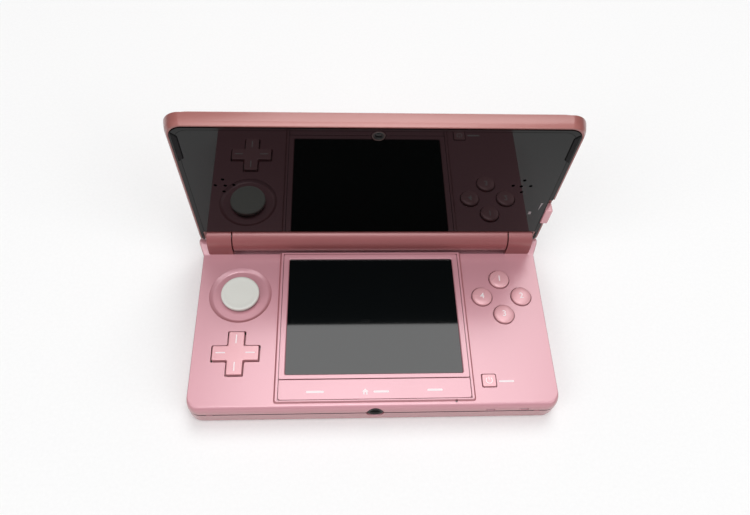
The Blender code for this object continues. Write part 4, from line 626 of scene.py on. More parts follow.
@dataclass
class Repeats:
    """Geometry Nodes groups that repeat a small item along a row."""

    resolution: int = 24

    def group(self) -> bpy.types.NodeTree:
        """Return the group: a line of flattened round dots, each with a material.

        Returns:
            The node group, made on its first use.
        """
        made = bpy.data.node_groups.get("row_of_dots")
        if made is not None:
            return made
        made = bpy.data.node_groups.new("row_of_dots", "GeometryNodeTree")
        face = made.interface
        face.new_socket("Geometry", in_out="INPUT", socket_type="NodeSocketGeometry")
        for name, kind in (("Count", "NodeSocketInt"), ("Start", "NodeSocketVector"),
                           ("Step", "NodeSocketVector"), ("Radius", "NodeSocketFloat"),
                           ("Depth", "NodeSocketFloat"), ("Turn", "NodeSocketVector"),
                           ("Stretch", "NodeSocketVector"), ("Material", "NodeSocketMaterial")):
            face.new_socket(name, in_out="INPUT", socket_type=kind)
        face.new_socket("Geometry", in_out="OUTPUT", socket_type="NodeSocketGeometry")
        given = add_node(made, "NodeGroupInput").outputs
        line = add_node(made, "GeometryNodeMeshLine",
                        {"Count": given["Count"], "Start Location": given["Start"],
                         "Offset": given["Step"]})
        dot = add_node(made, "GeometryNodeMeshCylinder",
                       {"Vertices": self.resolution, "Radius": given["Radius"],
                        "Depth": given["Depth"]})
        spread = add_node(made, "GeometryNodeInstanceOnPoints", {"Points": line.outputs["Mesh"],
                                                                 "Instance": dot.outputs["Mesh"],
                                                                 "Rotation": given["Turn"],
                                                                 "Scale": given["Stretch"]})
        solid = add_node(made, "GeometryNodeRealizeInstances", {"Geometry": spread.outputs[0]})
        dressed = add_node(made, "GeometryNodeSetMaterial", {"Geometry": solid.outputs[0],
                                                             "Material": given["Material"]})
        add_node(made, "NodeGroupOutput", {0: dressed.outputs[0]})
        return made

    def row(self, name: str, finish: Finish, **inputs: object) -> bpy.types.Object:
        """Return a row of dots as a mesh object.

        Args:
            name: the object's name.
            finish: its surface.
            **inputs: the group's inputs by name, in lower case.

        Returns:
            The object, at the origin.
        """
        item = bpy.data.objects.new(name, bpy.data.meshes.new(name))
        bpy.context.scene.collection.objects.link(item)
        modifier = item.modifiers.new("row", "NODES")
        modifier.node_group = self.group()
        given = {"stretch": (1.0, 1.0, 1.0), "turn": (0.0, 0.0, 0.0), **inputs,
                 "material": finish.material()}
        for socket in self.group().interface.items_tree:
            if getattr(socket, "in_out", "") == "INPUT" and socket.name.lower() in given:
                modifier[socket.identifier] = given[socket.name.lower()]
        bpy.context.view_layer.update()
        baked(item)
        return item


@dataclass
class BaseShell:
    """The three shells of the base, with every opening in them."""

    shop: Workshop
    half: float = 64.6 * MM
    front: float = -36.8 * MM
    back: float = 37.2 * MM
    front_radius: float = 4.8 * MM
    back_radius: float = 4.0 * MM
    wall: float = 1.3 * MM
    deck_top: float = 11.1 * MM
    deck_bottom: float = 7.25 * MM
    platform_top: float = 12.2 * MM
    side_slope: float = 0.7 * MM
    front_slope: float = 1.9 * MM
    groove: float = 0.7 * MM
    groove_height: float = 0.3 * MM
    recess_half: float = 33.5 * MM
    recess_front: float = -33.7 * MM
    recess_back: float = 24.7 * MM
    ledge: float = 10.7 * MM
    trough_front: float = 25.3 * MM
    trough_floor: float = 9.0 * MM
    hinge_y: float = 30.9 * MM
    hinge_z: float = 15.2 * MM
    barrel_radius: float = 5.6 * MM
    knuckle_span: Point = (52.9 * MM, 62.0 * MM)
    control_x: float = 48.9 * MM
    pad_y: float = 7.7 * MM
    cross_y: float = -15.9 * MM
    face_y: float = 6.1 * MM
    face_offset: float = 7.45 * MM
    power: Point = (40.2 * MM, -27.1 * MM)
    screen_low: Point = (-31.9 * MM, -25.0 * MM)
    screen_high: Point = (31.9 * MM, 23.2 * MM)
    dish: tuple[Point, ...] = ((9.9 * MM, 10.1 * MM), (10.45 * MM, 10.2 * MM), (11.3 * MM, 10.85 * MM),
                               (11.5 * MM, 11.1 * MM), (12.5 * MM, 12.1 * MM))
    stem_hole: float = 6.4 * MM
    pad_wall: float = 10.7 * MM
    face_hole: float = 4.05 * MM
    sound_hole: float = 0.4 * MM
    sound: Point = (28.0 * MM, -34.4 * MM)
    menu_keys: tuple[float, ...] = (-20.7 * MM, 0.0, 20.7 * MM)
    menu_room: Point = (-32.0 * MM, -27.9 * MM)
    socket_hole: float = 3.1 * MM
    socket: Point = (0.0, 7.1 * MM)
    lamps: Point = (40.2 * MM, 52.0 * MM)
    lamp_room: Point = (7.85 * MM, 8.95 * MM)
    straps: Point = (55.6 * MM, 57.9 * MM)
    strap_room: Point = (6.55 * MM, 7.35 * MM)
    seam: Point = (6.68 * MM, 7.52 * MM)
    side_slots: tuple[tuple, ...] = (("memory_door", -1, -10.8, 14.8, 2.7, 6.2),
                                     ("volume_slider", -1, -30.95, -17.05, 3.6, 5.6),
                                     ("wireless_switch", 1, -27.45, -20.55, 3.6, 5.6))
    back_slots: tuple[tuple, ...] = (("game_card", -17.1, 17.1, 1.3, 5.7),
                                     ("charge_inlet", 24.3, 33.7, 2.6, 6.4),
                                     ("infrared_window", 35.0, 39.4, 3.2, 6.0))
    stylus: Point = (-26.0 * MM, 4.15 * MM)
    trigger_wall: float = 4.7 * MM
    trigger_front: float = 10.7 * MM
    trigger_inner: float = 40.3 * MM
    trigger_room: Point = (2.4 * MM, 8.3 * MM)
    edge: float = 0.18 * MM

    @property
    def pad_place(self) -> Point:
        """Return the middle of the sliding pad."""
        return -self.control_x, self.pad_y

    def outline(self, side: float, front: float, steps: int = 14) -> list[Point]:
        """Return the base's plan, drawn in from its widest line.

        Args:
            side: how far it is drawn in at the sides and the back.
            front: how far it is drawn in at the front.
            steps: segments in each corner.

        Returns:
            Its points.
        """
        half = self.half - side
        return rounded(-half, half, self.front + front, self.back - side,
                       self.front_radius - min(side, self.front_radius / 2),
                       self.back_radius - min(side, self.back_radius / 2), steps)

    def knuckle(self) -> Shape:
        """Return the right knuckle, an arch carried along X.

        Returns:
            The arch with its foot in the deck.
        """
        foot = self.trough_floor - 0.3 * MM
        points = [(self.hinge_y - self.barrel_radius, foot)]
        for step in range(41):
            angle = math.pi - math.pi * step / 40
            points.append((self.hinge_y + self.barrel_radius * math.cos(angle),
                           self.hinge_z + self.barrel_radius * math.sin(angle)))
        points.append((self.hinge_y + self.barrel_radius, foot))
        return Shape.layers([(points, run) for run in self.knuckle_span], "X")

    def fin(self) -> Shape:
        """Return the right fin, which flares from the deck's edge to the lid's width.

        Returns:
            The fin.
        """
        back = self.hinge_y + self.barrel_radius
        front = self.trough_front - 0.67 * MM
        table = ((0.0, 0.0, 0.0), (0.26, 0.55, 0.6), (0.50, 1.0, 1.0), (0.70, 0.85, 0.2),
                 (1.0, -0.5, -0.75))
        rings = []
        for run, reach, rise in smooth_table(table, 25):
            y = front + (back - front) * run
            outer = self.half - self.side_slope / 2 + 2.0 * MM * min(reach, 1.0)
            top = self.deck_top + 1.6 * MM * min(rise, 1.0)
            foot = self.deck_bottom + self.groove_height
            low = min(outer, self.half - self.groove)
            inner = self.knuckle_span[1] - 0.3 * MM
            rings.append([(inner, y, foot), (low, y, foot), (outer, y, top - 0.9 * MM),
                          (outer - 0.08 * MM, y, top - 0.45 * MM), (outer - 0.4 * MM, y, top),
                          (inner, y, top)])
        return Shape.loft(rings)

    def corner_spaces(self, room: float = 0.3 * MM) -> list[Shape]:
        """Return the spaces of the two shoulder buttons.

        Args:
            room: how far the spaces reach past the base.

        Returns:
            The right and left spaces.
        """
        plan = self.outline(-room, 0.0)
        count = len(plan) // 4
        wall = self.trigger_wall
        points = [(self.half + room - wall, self.back - self.trigger_front),
                  (self.half + room, self.back - self.trigger_front)]
        points += plan[2 * count:3 * count]
        points += [(self.trigger_inner, self.back + room), (self.trigger_inner, self.back - wall),
                   (self.half - wall - 2 * MM, self.back - wall),
                   (self.half - wall, self.back - wall - 2 * MM)]
        return pair([Shape.slab(points, *self.trigger_room)])

    def front_holes(self) -> list[Shape]:
        """Return the openings in the front edge: the socket and the two lamps.

        Returns:
            The cutting shapes, with the two strap openings.
        """
        reach = self.front + 5.0 * MM
        holes = [Shape.rod(self.socket_hole, self.front - 1 * MM, reach, self.socket, 56, "Y")]
        for x in self.lamps:
            holes.append(Shape.box((x - 1.4 * MM, self.front - 1 * MM, self.lamp_room[0]),
                                   (x + 1.4 * MM, reach, self.lamp_room[1])))
        strap = Shape.box((self.straps[0], self.front - 1 * MM, self.strap_room[0]),
                          (self.straps[1], self.front + 1.2 * MM, self.strap_room[1]))
        return holes + pair([strap])

    def cross_plan(self, half: float, arm: float, radius: float, steps: int = 6) -> list[Point]:
        """Return a plus sign with round outer and inner corners, about the cross pad's middle.

        Args:
            half: half of its length.
            arm: half of an arm's width.
            radius: the corners' radius.
            steps: segments in each corner.

        Returns:
            Its points.
        """
        quarter = [(half, arm, -1, -1), (arm, arm, 1, 1), (arm, half, -1, -1)]
        points = []
        for turn in range(4):
            angle = math.pi / 2 * turn
            for index, (x, y, dx, dy) in enumerate(quarter):
                cx, cy = x + dx * radius, y + dy * radius
                first, sweep = (270, -90) if index == 1 else (0, 90)
                for step in range(steps + 1):
                    a = math.radians(first + sweep * step / steps)
                    px, py = cx + radius * math.cos(a), cy + radius * math.sin(a)
                    points.append((px * math.cos(angle) - py * math.sin(angle) - self.control_x,
                                   px * math.sin(angle) + py * math.cos(angle) + self.cross_y))
        return points

    def face_places(self) -> list[Point]:
        """Return the middles of the north, east, south and west buttons."""
        x, y, off = self.control_x, self.face_y, self.face_offset
        return [(x, y + off), (x + off, y), (x, y - off), (x - off, y)]

    def deck(self) -> bpy.types.Object:
        """Make the upper shell.

        Returns:
            The deck, with its knuckles in the darker copy of the paint, which is painted shade.
        """
        low = self.deck_bottom + self.groove_height
        layers = [(self.outline(self.groove, self.groove), self.deck_bottom)]
        for step in range(13):
            angle = math.pi / 2 * step / 12
            drop = 1 - math.cos(angle)
            layers.append((self.outline(self.side_slope * drop, self.front_slope * drop),
                           low + (self.deck_top - low) * math.sin(angle)))
        item = Shape.layers(layers).to_object("deck_shell")
        under = self.deck_top - self.wall
        half, top_half = self.recess_half + 1.4 * MM, self.recess_half + 0.75 * MM
        front, end = self.recess_front - 0.7 * MM, self.trough_front + 2 * MM
        platform = Shape.layers([
            (rounded(-half, half, front, end, 0.9 * MM, 0.9 * MM, 6), under),
            (rounded(-half, half, front, end, 0.9 * MM, 0.9 * MM, 6), self.deck_top + 0.1 * MM),
            (rounded(-top_half, top_half, front + 0.35 * MM, end, 0.6 * MM, 0.6 * MM, 6),
             self.platform_top)])
        start, stop = self.knuckle_span
        far = 80 * MM
        trough = Shape.box((-start, self.trough_front, self.trough_floor), (start, far, far))
        step_down = Shape.box((-far, self.hinge_y + self.barrel_radius, self.trough_floor), (far, far, far))
        self.shop.carve(item, "UNION", [platform])
        self.shop.carve(item, "DIFFERENCE", [trough, step_down])
        self.shop.carve(item, "UNION", pair([self.knuckle(), self.fin()]))
        wall_half = self.half - self.wall
        inner_front = self.front + self.front_slope + self.wall / 2
        cavity = Shape.slab(rounded(-wall_half, wall_half, inner_front, self.trough_front - self.wall,
                                    2.4 * MM, 1 * MM, 4), 0.0, under)
        rear = Shape.slab(rounded(-wall_half, wall_half, self.trough_front - 2 * self.wall,
                                  self.back - self.wall, 1 * MM, 2 * MM, 4), 0.0,
                          self.trough_floor - self.wall)
        self.shop.carve(item, "DIFFERENCE", [cavity, rear])
        wall = Shape.rod(self.pad_wall, self.trough_floor + 0.3 * MM, under + 0.2 * MM, self.pad_place, 96)
        self.shop.carve(item, "UNION", [wall])
        recess = Shape.box((-self.recess_half, self.recess_front, self.ledge),
                           (self.recess_half, self.recess_back, far))
        screen = Shape.box((*self.screen_low, 0.0), (*self.screen_high, far))
        dish = Shape.turned(self.dish, self.pad_place, 96)
        stem = Shape.rod(self.stem_hole, 0.0, far, self.pad_place, 64)
        cross = Shape.slab(self.cross_plan(8.65 * MM, 3.25 * MM, 0.5 * MM), 0.0, far)
        faces = [Shape.rod(self.face_hole, 0.0, far, place, 64) for place in self.face_places()]
        x, y = self.power
        key = rounded(x - 2.7 * MM, x + 2.7 * MM, y - 2.55 * MM, y + 2.55 * MM, 0.6 * MM, 0.6 * MM, 6)
        power = Shape.slab(key, 0.0, far)
        sound = Shape.rod(self.sound_hole, 0.0, far, self.sound, 24)
        keys = [Shape.box((x - 5.3 * MM, self.menu_room[0], 0.0), (x + 5.3 * MM, self.menu_room[1], far))
                for x in self.menu_keys]
        self.shop.carve(item, "DIFFERENCE", [recess, screen, dish])
        self.shop.carve(item, "DIFFERENCE", [stem, cross, power, sound] + faces + keys)
        self.shop.carve(item, "DIFFERENCE", self.front_holes() + self.corner_spaces())
        self.shop.soften(item, self.edge, 32.0)
        self.shop.finish(item, PEARL_PINK, "base", ["deck_cover"], "pearl_pink")
        # The knuckles take the darker copy of the paint: painted shade by the hinge.
        item.data.materials.append(PEARL_SHADED.material())
        for face in item.data.polygons:
            x, y, z = face.center
            in_hinge_shade = start - 0.2 * MM < abs(x) < stop + 0.1 * MM and z > self.deck_top
            if in_hinge_shade and y > self.trough_front - 0.1 * MM:
                face.material_index = 1
        return item

    def wall_holes(self) -> list[Shape]:
        """Return the openings through the low shell's walls, from the tables of slots in millimetres.

        Returns:
            The cutting shapes.
        """
        out, deep = self.half + 5 * MM, self.half - self.wall - 2 * MM
        holes = []
        for _, side, front, back, low, high in self.side_slots:
            left, right = sorted((side * out, side * deep))
            holes.append(Shape.box((left, front * MM, low * MM), (right, back * MM, high * MM)))
        back_in, back_out = self.back - self.wall - 2 * MM, self.back + 2 * MM
        for _, left, right, low, high in self.back_slots:
            holes.append(Shape.box((left * MM, back_in, low * MM), (right * MM, back_out, high * MM)))
        return holes + [Shape.rod(1.8 * MM, back_in, back_out, self.stylus, 40, "Y")]

    def low_shell(self) -> bpy.types.Object:
        """Make the middle shell with the plate that carries the board.

        Returns:
            The shell.
        """
        high = 6.95 * MM
        shape = Shape.layers([(self.outline(0.12 * MM, 0.3 * MM), 2.2 * MM), (self.outline(0, 0), 2.6 * MM),
                              (self.outline(0, 0), high - self.groove_height),
                              (self.outline(self.groove, self.groove), high)])
        inner = self.outline(self.wall, self.wall)
        below = Shape.slab(inner, 0.0, 5.3 * MM)
        above = Shape.slab(inner, 5.9 * MM, 11 * MM)
        edge = self.back - self.wall
        rooms = [Shape.box((-self.half + self.wall, -12.5 * MM, 0), (-31.3 * MM, 16.5 * MM, 11 * MM)),
                 Shape.box((-19.1 * MM, edge - 33 * MM, 0), (19.1 * MM, edge, 11 * MM)),
                 Shape.box((-28.0 * MM, edge - 62 * MM, 2.4 * MM), (-24.0 * MM, edge, 5.9 * MM)),
                 Shape.box((-3.8 * MM, self.front + self.wall, 3.3 * MM), (3.8 * MM, -24.5 * MM, 11 * MM)),
                 Shape.box((24.2 * MM, 28.9 * MM, 0), (33.8 * MM, edge, 11 * MM)),
                 Shape.box((34.9 * MM, 34.9 * MM, 0), (39.5 * MM, edge, 11 * MM))]
        return self.shop.build("low_shell", shape, PEARL_PINK, "base", stands_for=["mid_housing"],
                               slot="pearl_pink", edge=0.12 * MM,
                               cuts=[below, above] + rooms + self.wall_holes() + self.front_holes()
                               + self.corner_spaces())

    def bottom(self) -> bpy.types.Object:
        """Make the bottom plate with its low rim and screw holes.

        Returns:
            The plate.
        """
        shape = Shape.layers([(self.outline(1 * MM, 1 * MM), 0.0),
                              (self.outline(0.62 * MM, 0.72 * MM), 0.1 * MM),
                              (self.outline(0.33 * MM, 0.5 * MM), 0.33 * MM),
                              (self.outline(0.2 * MM, 0.36 * MM), 0.6 * MM),
                              (self.outline(0.12 * MM, 0.3 * MM), 1 * MM),
                              (self.outline(0.12 * MM, 0.3 * MM), 1.9 * MM)])
        inner = self.outline(self.wall, self.wall)
        cuts = [Shape.slab(inner, 1 * MM, 7 * MM),
                Shape.box((-17.1 * MM, 33.9 * MM, 1.3 * MM), (17.1 * MM, 40 * MM, 7 * MM))]
        cuts += pair([Shape.rod(1.1 * MM, -1 * MM, 3 * MM, (52.5 * MM, -22.4 * MM), 32)])
        return self.shop.build("bottom_plate", shape, PEARL_PINK, "base", cuts, stands_for=["bottom_cover"],
                               slot="pearl_pink", edge=0.1 * MM)

    def seam_shade_band(self) -> bpy.types.Object:
        """Make the black band in the seam below the deck: painted shade, a dark sheet where the gap holds
        only shadow.

        Returns:
            The band.
        """
        inner = self.outline(self.groove + 0.1 * MM, self.groove + 0.1 * MM)
        outer = self.outline(0.06 * MM, 0.06 * MM)
        low, high = self.seam
        shape = Shape.slab(outer, low, high)
        hollow = Shape.slab(inner, low - 1 * MM, high + 1 * MM)
        # The black band is painted shade in the seam, not a real part.
        return self.shop.build("seam_painted_shade", shape, BLACK_RUBBER_AND_SHADE, "base", [hollow] + self.front_holes()
                               + self.corner_spaces(), slot="black_rubber", edge=0.0)

    def make(self) -> None:
        """Make the three shells and the band of painted shade between them."""
        self.deck()
        self.low_shell()
        self.bottom()
        self.seam_shade_band()


@dataclass
class Studio:
    """The floor, the soft lights and the camera that matches the photograph."""

    eye: tuple[float, float, float] = (-0.01217, -0.11077, 0.23075)
    right: tuple[float, float, float] = (0.99856762, -0.0303487, 0.04406437)
    up: tuple[float, float, float] = (0.002862, 0.85268518, 0.52241726)
    forward: tuple[float, float, float] = (0.05342772, 0.52154285, -0.85155067)
    focal: float = 31.89
    floor_tones: tuple[str, str] = ("#F0F0F0", "#F6F6F6")
    sky: float = 0.22
    softbox: float = 1.2
    softbox_watts: float = 16.5
    fill: float = 1.2
    fill_watts: float = 9.0
    top: float = 0.9
    top_watts: float = 13.5

    def camera(self) -> None:
        """Place the camera."""
        data = bpy.data.cameras.new("camera")
        data.lens = self.focal
        data.sensor_width = 36.0
        data.sensor_fit = "HORIZONTAL"
        data.clip_start = 0.01
        data.clip_end = 50.0
        item = bpy.data.objects.new("camera", data)
        axes = Matrix((self.right, self.up, [-v for v in self.forward])).transposed()
        item.matrix_world = Matrix.Translation(self.eye) @ axes.to_4x4()
        bpy.context.scene.collection.objects.link(item)
        bpy.context.scene.camera = item

    def floor(self) -> None:
        """Lay a wide pale floor."""
        item = Shape.box((-3.0, -3.0, -0.01), (3.0, 3.0, 0.0)).to_object("floor")
        paper = bpy.data.materials.new("seamless_paper")
        paper.use_nodes = True
        shader = paper.node_tree.nodes["Principled BSDF"]
        place = add_node(paper.node_tree, "ShaderNodeTexCoord").outputs["Object"]
        fibre = add_node(paper.node_tree, "ShaderNodeTexNoise", {"Vector": place, "Scale": 900.0})
        tone = add_node(paper.node_tree, "ShaderNodeMix",
                        {0: fibre.outputs["Fac"], 6: linear(self.floor_tones[0]),
                        7: linear(self.floor_tones[1])}, data_type="RGBA")
        paper.node_tree.links.new(tone.outputs[2], shader.inputs["Base Color"])
        shader.inputs["Roughness"].default_value = 0.9
        item.data.materials.append(paper)

    def lamp(self, name: str, place: Sequence[float], target: Sequence[float], size: float,
             watts: float) -> None:
        """Hang a soft square light that looks at a point.

        Args:
            name: the light's name.
            place: where it hangs.
            target: the point that it faces.
            size: the length of its side.
            watts: its power.
        """
        data = bpy.data.lights.new(name, "AREA")
        data.size = size
        data.energy = watts
        item = bpy.data.objects.new(name, data)
        aim = Vector(target) - Vector(place)
        item.matrix_world = Matrix.Translation(place) @ aim.to_track_quat("-Z", "Y").to_matrix().to_4x4()
        bpy.context.scene.collection.objects.link(item)

    def make(self) -> None:
        """Set up the whole studio."""
        self.camera()
        self.floor()
        world = bpy.data.worlds.new("studio")
        world.use_nodes = True
        tree = world.node_tree
        seen = add_node(tree, "ShaderNodeLightPath").outputs["Is Camera Ray"]
        level = add_node(tree, "ShaderNodeMapRange", {0: seen, 3: self.sky, 4: 0.97})
        tree.links.new(level.outputs[0], tree.nodes["Background"].inputs["Strength"])
        tree.nodes["Background"].inputs["Color"].default_value = (1.0, 1.0, 1.0, 1.0)
        bpy.context.scene.world = world
        self.lamp("softbox_behind", (0.2, 0.85, 1.95), (0.0, 0.0, 0.0), self.softbox, self.softbox_watts)
        for name, side in (("left", -1.0), ("right", 1.0)):
            self.lamp(f"fill_{name}", (side * 1.35, -0.9, 1.4), (0.0, 0.0, 0.0), self.fill, self.fill_watts)
        self.lamp("softbox_above", (0.0, -0.35, 1.9), (0.0, 0.0, 0.0), self.top, self.top_watts)
        bpy.context.scene.view_settings.view_transform = "Standard"
        LOG.info("studio ready")


@dataclass
class Marks:
    """Flat printed marks, drawn as thin solids."""

    shop: Workshop
    ink: Finish = PALE_INK
    height: float = 0.04 * MM

    def plate(self, name: str, outline: Sequence[Point], level: float, body: str) -> bpy.types.Object:
        """Print an outline on a level surface.

        Args:
            name: the mark's name.
            outline: its points in X and Y.
            level: the height of the surface.
            body: the body that it rides on.

        Returns:
            The mark.
        """
        shape = Shape.slab(outline, level - 0.02 * MM, level + self.height)
        return self.shop.build(name, shape, self.ink, body, edge=0.0, slot="pad_grey")

    def bar(self, name: str, middle: Point, size: Point, level: float, body: str) -> bpy.types.Object:
        """Print a bar with round ends.

        Args:
            name: the mark's name.
            middle: its place.
            size: its length and width.
            level: the height of the surface.
            body: the body that it rides on.

        Returns:
            The mark.
        """
        half, deep = size[0] / 2, size[1] / 2
        radius = min(half, deep) * 0.98
        outline = rounded(middle[0] - half, middle[0] + half, middle[1] - deep, middle[1] + deep, radius,
                          radius, 6)
        return self.plate(name, outline, level, body)

    def numeral(self, name: str, text: str, middle: Point, size: float, level: float,
                body: str) -> bpy.types.Object:
        """Print a plain numeral.

        Args:
            name: the mark's name.
            text: the numeral.
            middle: its place.
            size: its size.
            level: the height of the surface.
            body: the body that it rides on.

        Returns:
            The mark.
        """
        curve = bpy.data.curves.new(name, "FONT")
        curve.body = text
        curve.size = size
        curve.extrude = self.height / 2
        curve.offset = 0.03 * MM
        curve.align_x = "CENTER"
        curve.align_y = "CENTER"
        letter = bpy.data.objects.new(f"{name}_curve", curve)
        bpy.context.scene.collection.objects.link(letter)
        graph = bpy.context.evaluated_depsgraph_get()
        data = bpy.data.meshes.new_from_object(letter.evaluated_get(graph))
        bpy.data.objects.remove(letter, do_unlink=True)
        data.transform(Matrix.Translation((middle[0], middle[1], level + self.height / 4)))
        item = bpy.data.objects.new(name, data)
        bpy.context.scene.collection.objects.link(item)
        return self.shop.finish(item, self.ink, body, slot="pad_grey")

    def power_sign(self, name: str, middle: Point, radius: float, level: float, body: str) -> None:
        """Print an open ring with a stroke through its gap.

        Args:
            name: the first part of the marks' names.
            middle: the ring's middle.
            radius: the ring's radius.
            level: the height of the surface.
            body: the body that it rides on.
        """
        stroke = radius * 0.24
        outer, inner = [], []
        for step in range(37):
            angle = math.radians(125 + 290 * step / 36)
            outer.append((middle[0] + radius * math.cos(angle), middle[1] + radius * math.sin(angle)))
            inner.append((middle[0] + (radius - stroke) * math.cos(angle),
                          middle[1] + (radius - stroke) * math.sin(angle)))
        self.plate(f"{name}_ring", outer + inner[::-1], level, body)
        self.bar(f"{name}_stroke", (middle[0], middle[1] + radius * 0.62), (stroke, radius * 0.95), level,
                 body)

    def house(self, name: str, middle: Point, size: float, level: float, body: str) -> None:
        """Print a small house with a doorway.

        Args:
            name: the mark's name.
            middle: its place.
            size: its height.
            level: the height of the surface.
            body: the body that it rides on.
        """
        x, y = middle
        points = [(-0.36, -0.5), (-0.12, -0.5), (-0.12, -0.14), (0.12, -0.14), (0.12, -0.5), (0.36, -0.5),
                  (0.36, 0.02), (0.54, 0.02), (0.0, 0.52), (-0.54, 0.02), (-0.36, 0.02)]
        self.plate(name, [(x + u * size, y + v * size) for u, v in points], level, body)


@dataclass
class TouchScreen:
    """The touch screen in its frame, and the menu strip in front of it."""

    shop: Workshop
    half: float = 33.3 * MM
    front: float = -26.0 * MM
    back: float = 24.5 * MM
    opening: tuple[float, float, float, float] = (-31.2 * MM, 31.2 * MM, -24.3 * MM, 22.5 * MM)
    low: float = 10.9 * MM
    top: float = 12.2 * MM
    strip_front: float = -33.5 * MM
    strip_back: float = -26.3 * MM

    def bezel(self) -> None:
        """Make the frame with its sloped inner lip."""
        outline = rounded(-self.half, self.half, self.front, self.back, 0.5 * MM, 0.7 * MM, 6)
        left, right, near, far = self.opening
        lip = 0.35 * MM
        hole = Shape.layers([
            (rounded(left, right, near, far, 0.6 * MM, 0.6 * MM, 6), 5 * MM),
            (rounded(left, right, near, far, 0.6 * MM, 0.6 * MM, 6), self.top - lip),
            (rounded(left - lip, right + lip, near - lip, far + lip, 0.8 * MM, 0.8 * MM, 6),
             self.top + 0.05 * MM),
            (rounded(left - lip, right + lip, near - lip, far + lip, 0.8 * MM, 0.8 * MM, 6), 20 * MM)])
        over = 1.1 * MM
        pocket = Shape.box((left - over, near - over, 5 * MM),
                           (right + over, far + over, self.top - 0.45 * MM))
        self.shop.build("screen_frame", Shape.slab(outline, self.low, self.top),
                        PEARL_PINK,
                        "base", [pocket, hole], stands_for=["touch_bezel"], slot="pearl_pink",
                        edge=0.1 * MM)

    def strip(self) -> None:
        """Make the menu strip and its three marks."""
        outline = rounded(-self.half, self.half, self.strip_front, self.strip_back, 0.9 * MM, 0.4 * MM, 6)
        self.shop.build("menu_plate", Shape.slab(outline, self.low, self.top), PEARL_PINK,
                        "base",
                        stands_for=["menu_strip"], slot="pearl_pink", edge=0.14 * MM)
        marks = Marks(self.shop)
        marks.bar("select_mark", (-20.66 * MM, -30.8 * MM), (6.2 * MM, 0.8 * MM), self.top, "base")
        marks.house("home_mark", (-3.44 * MM, -30.9 * MM), 2.1 * MM, self.top, "base")
        marks.bar("home_bar", (2.07 * MM, -30.96 * MM), (5.4 * MM, 0.8 * MM), self.top, "base")
        marks.bar("start_mark", (20.68 * MM, -30.6 * MM), (5.4 * MM, 0.8 * MM), self.top, "base")

    def make(self) -> None:
        """Make the frame, the film and the strip."""
        self.bezel()
        self.strip()
        self.shop.refined("touch_panel", "touch_film", TOUCH_FILM, "base", 0.05 * MM, "screen_glass")


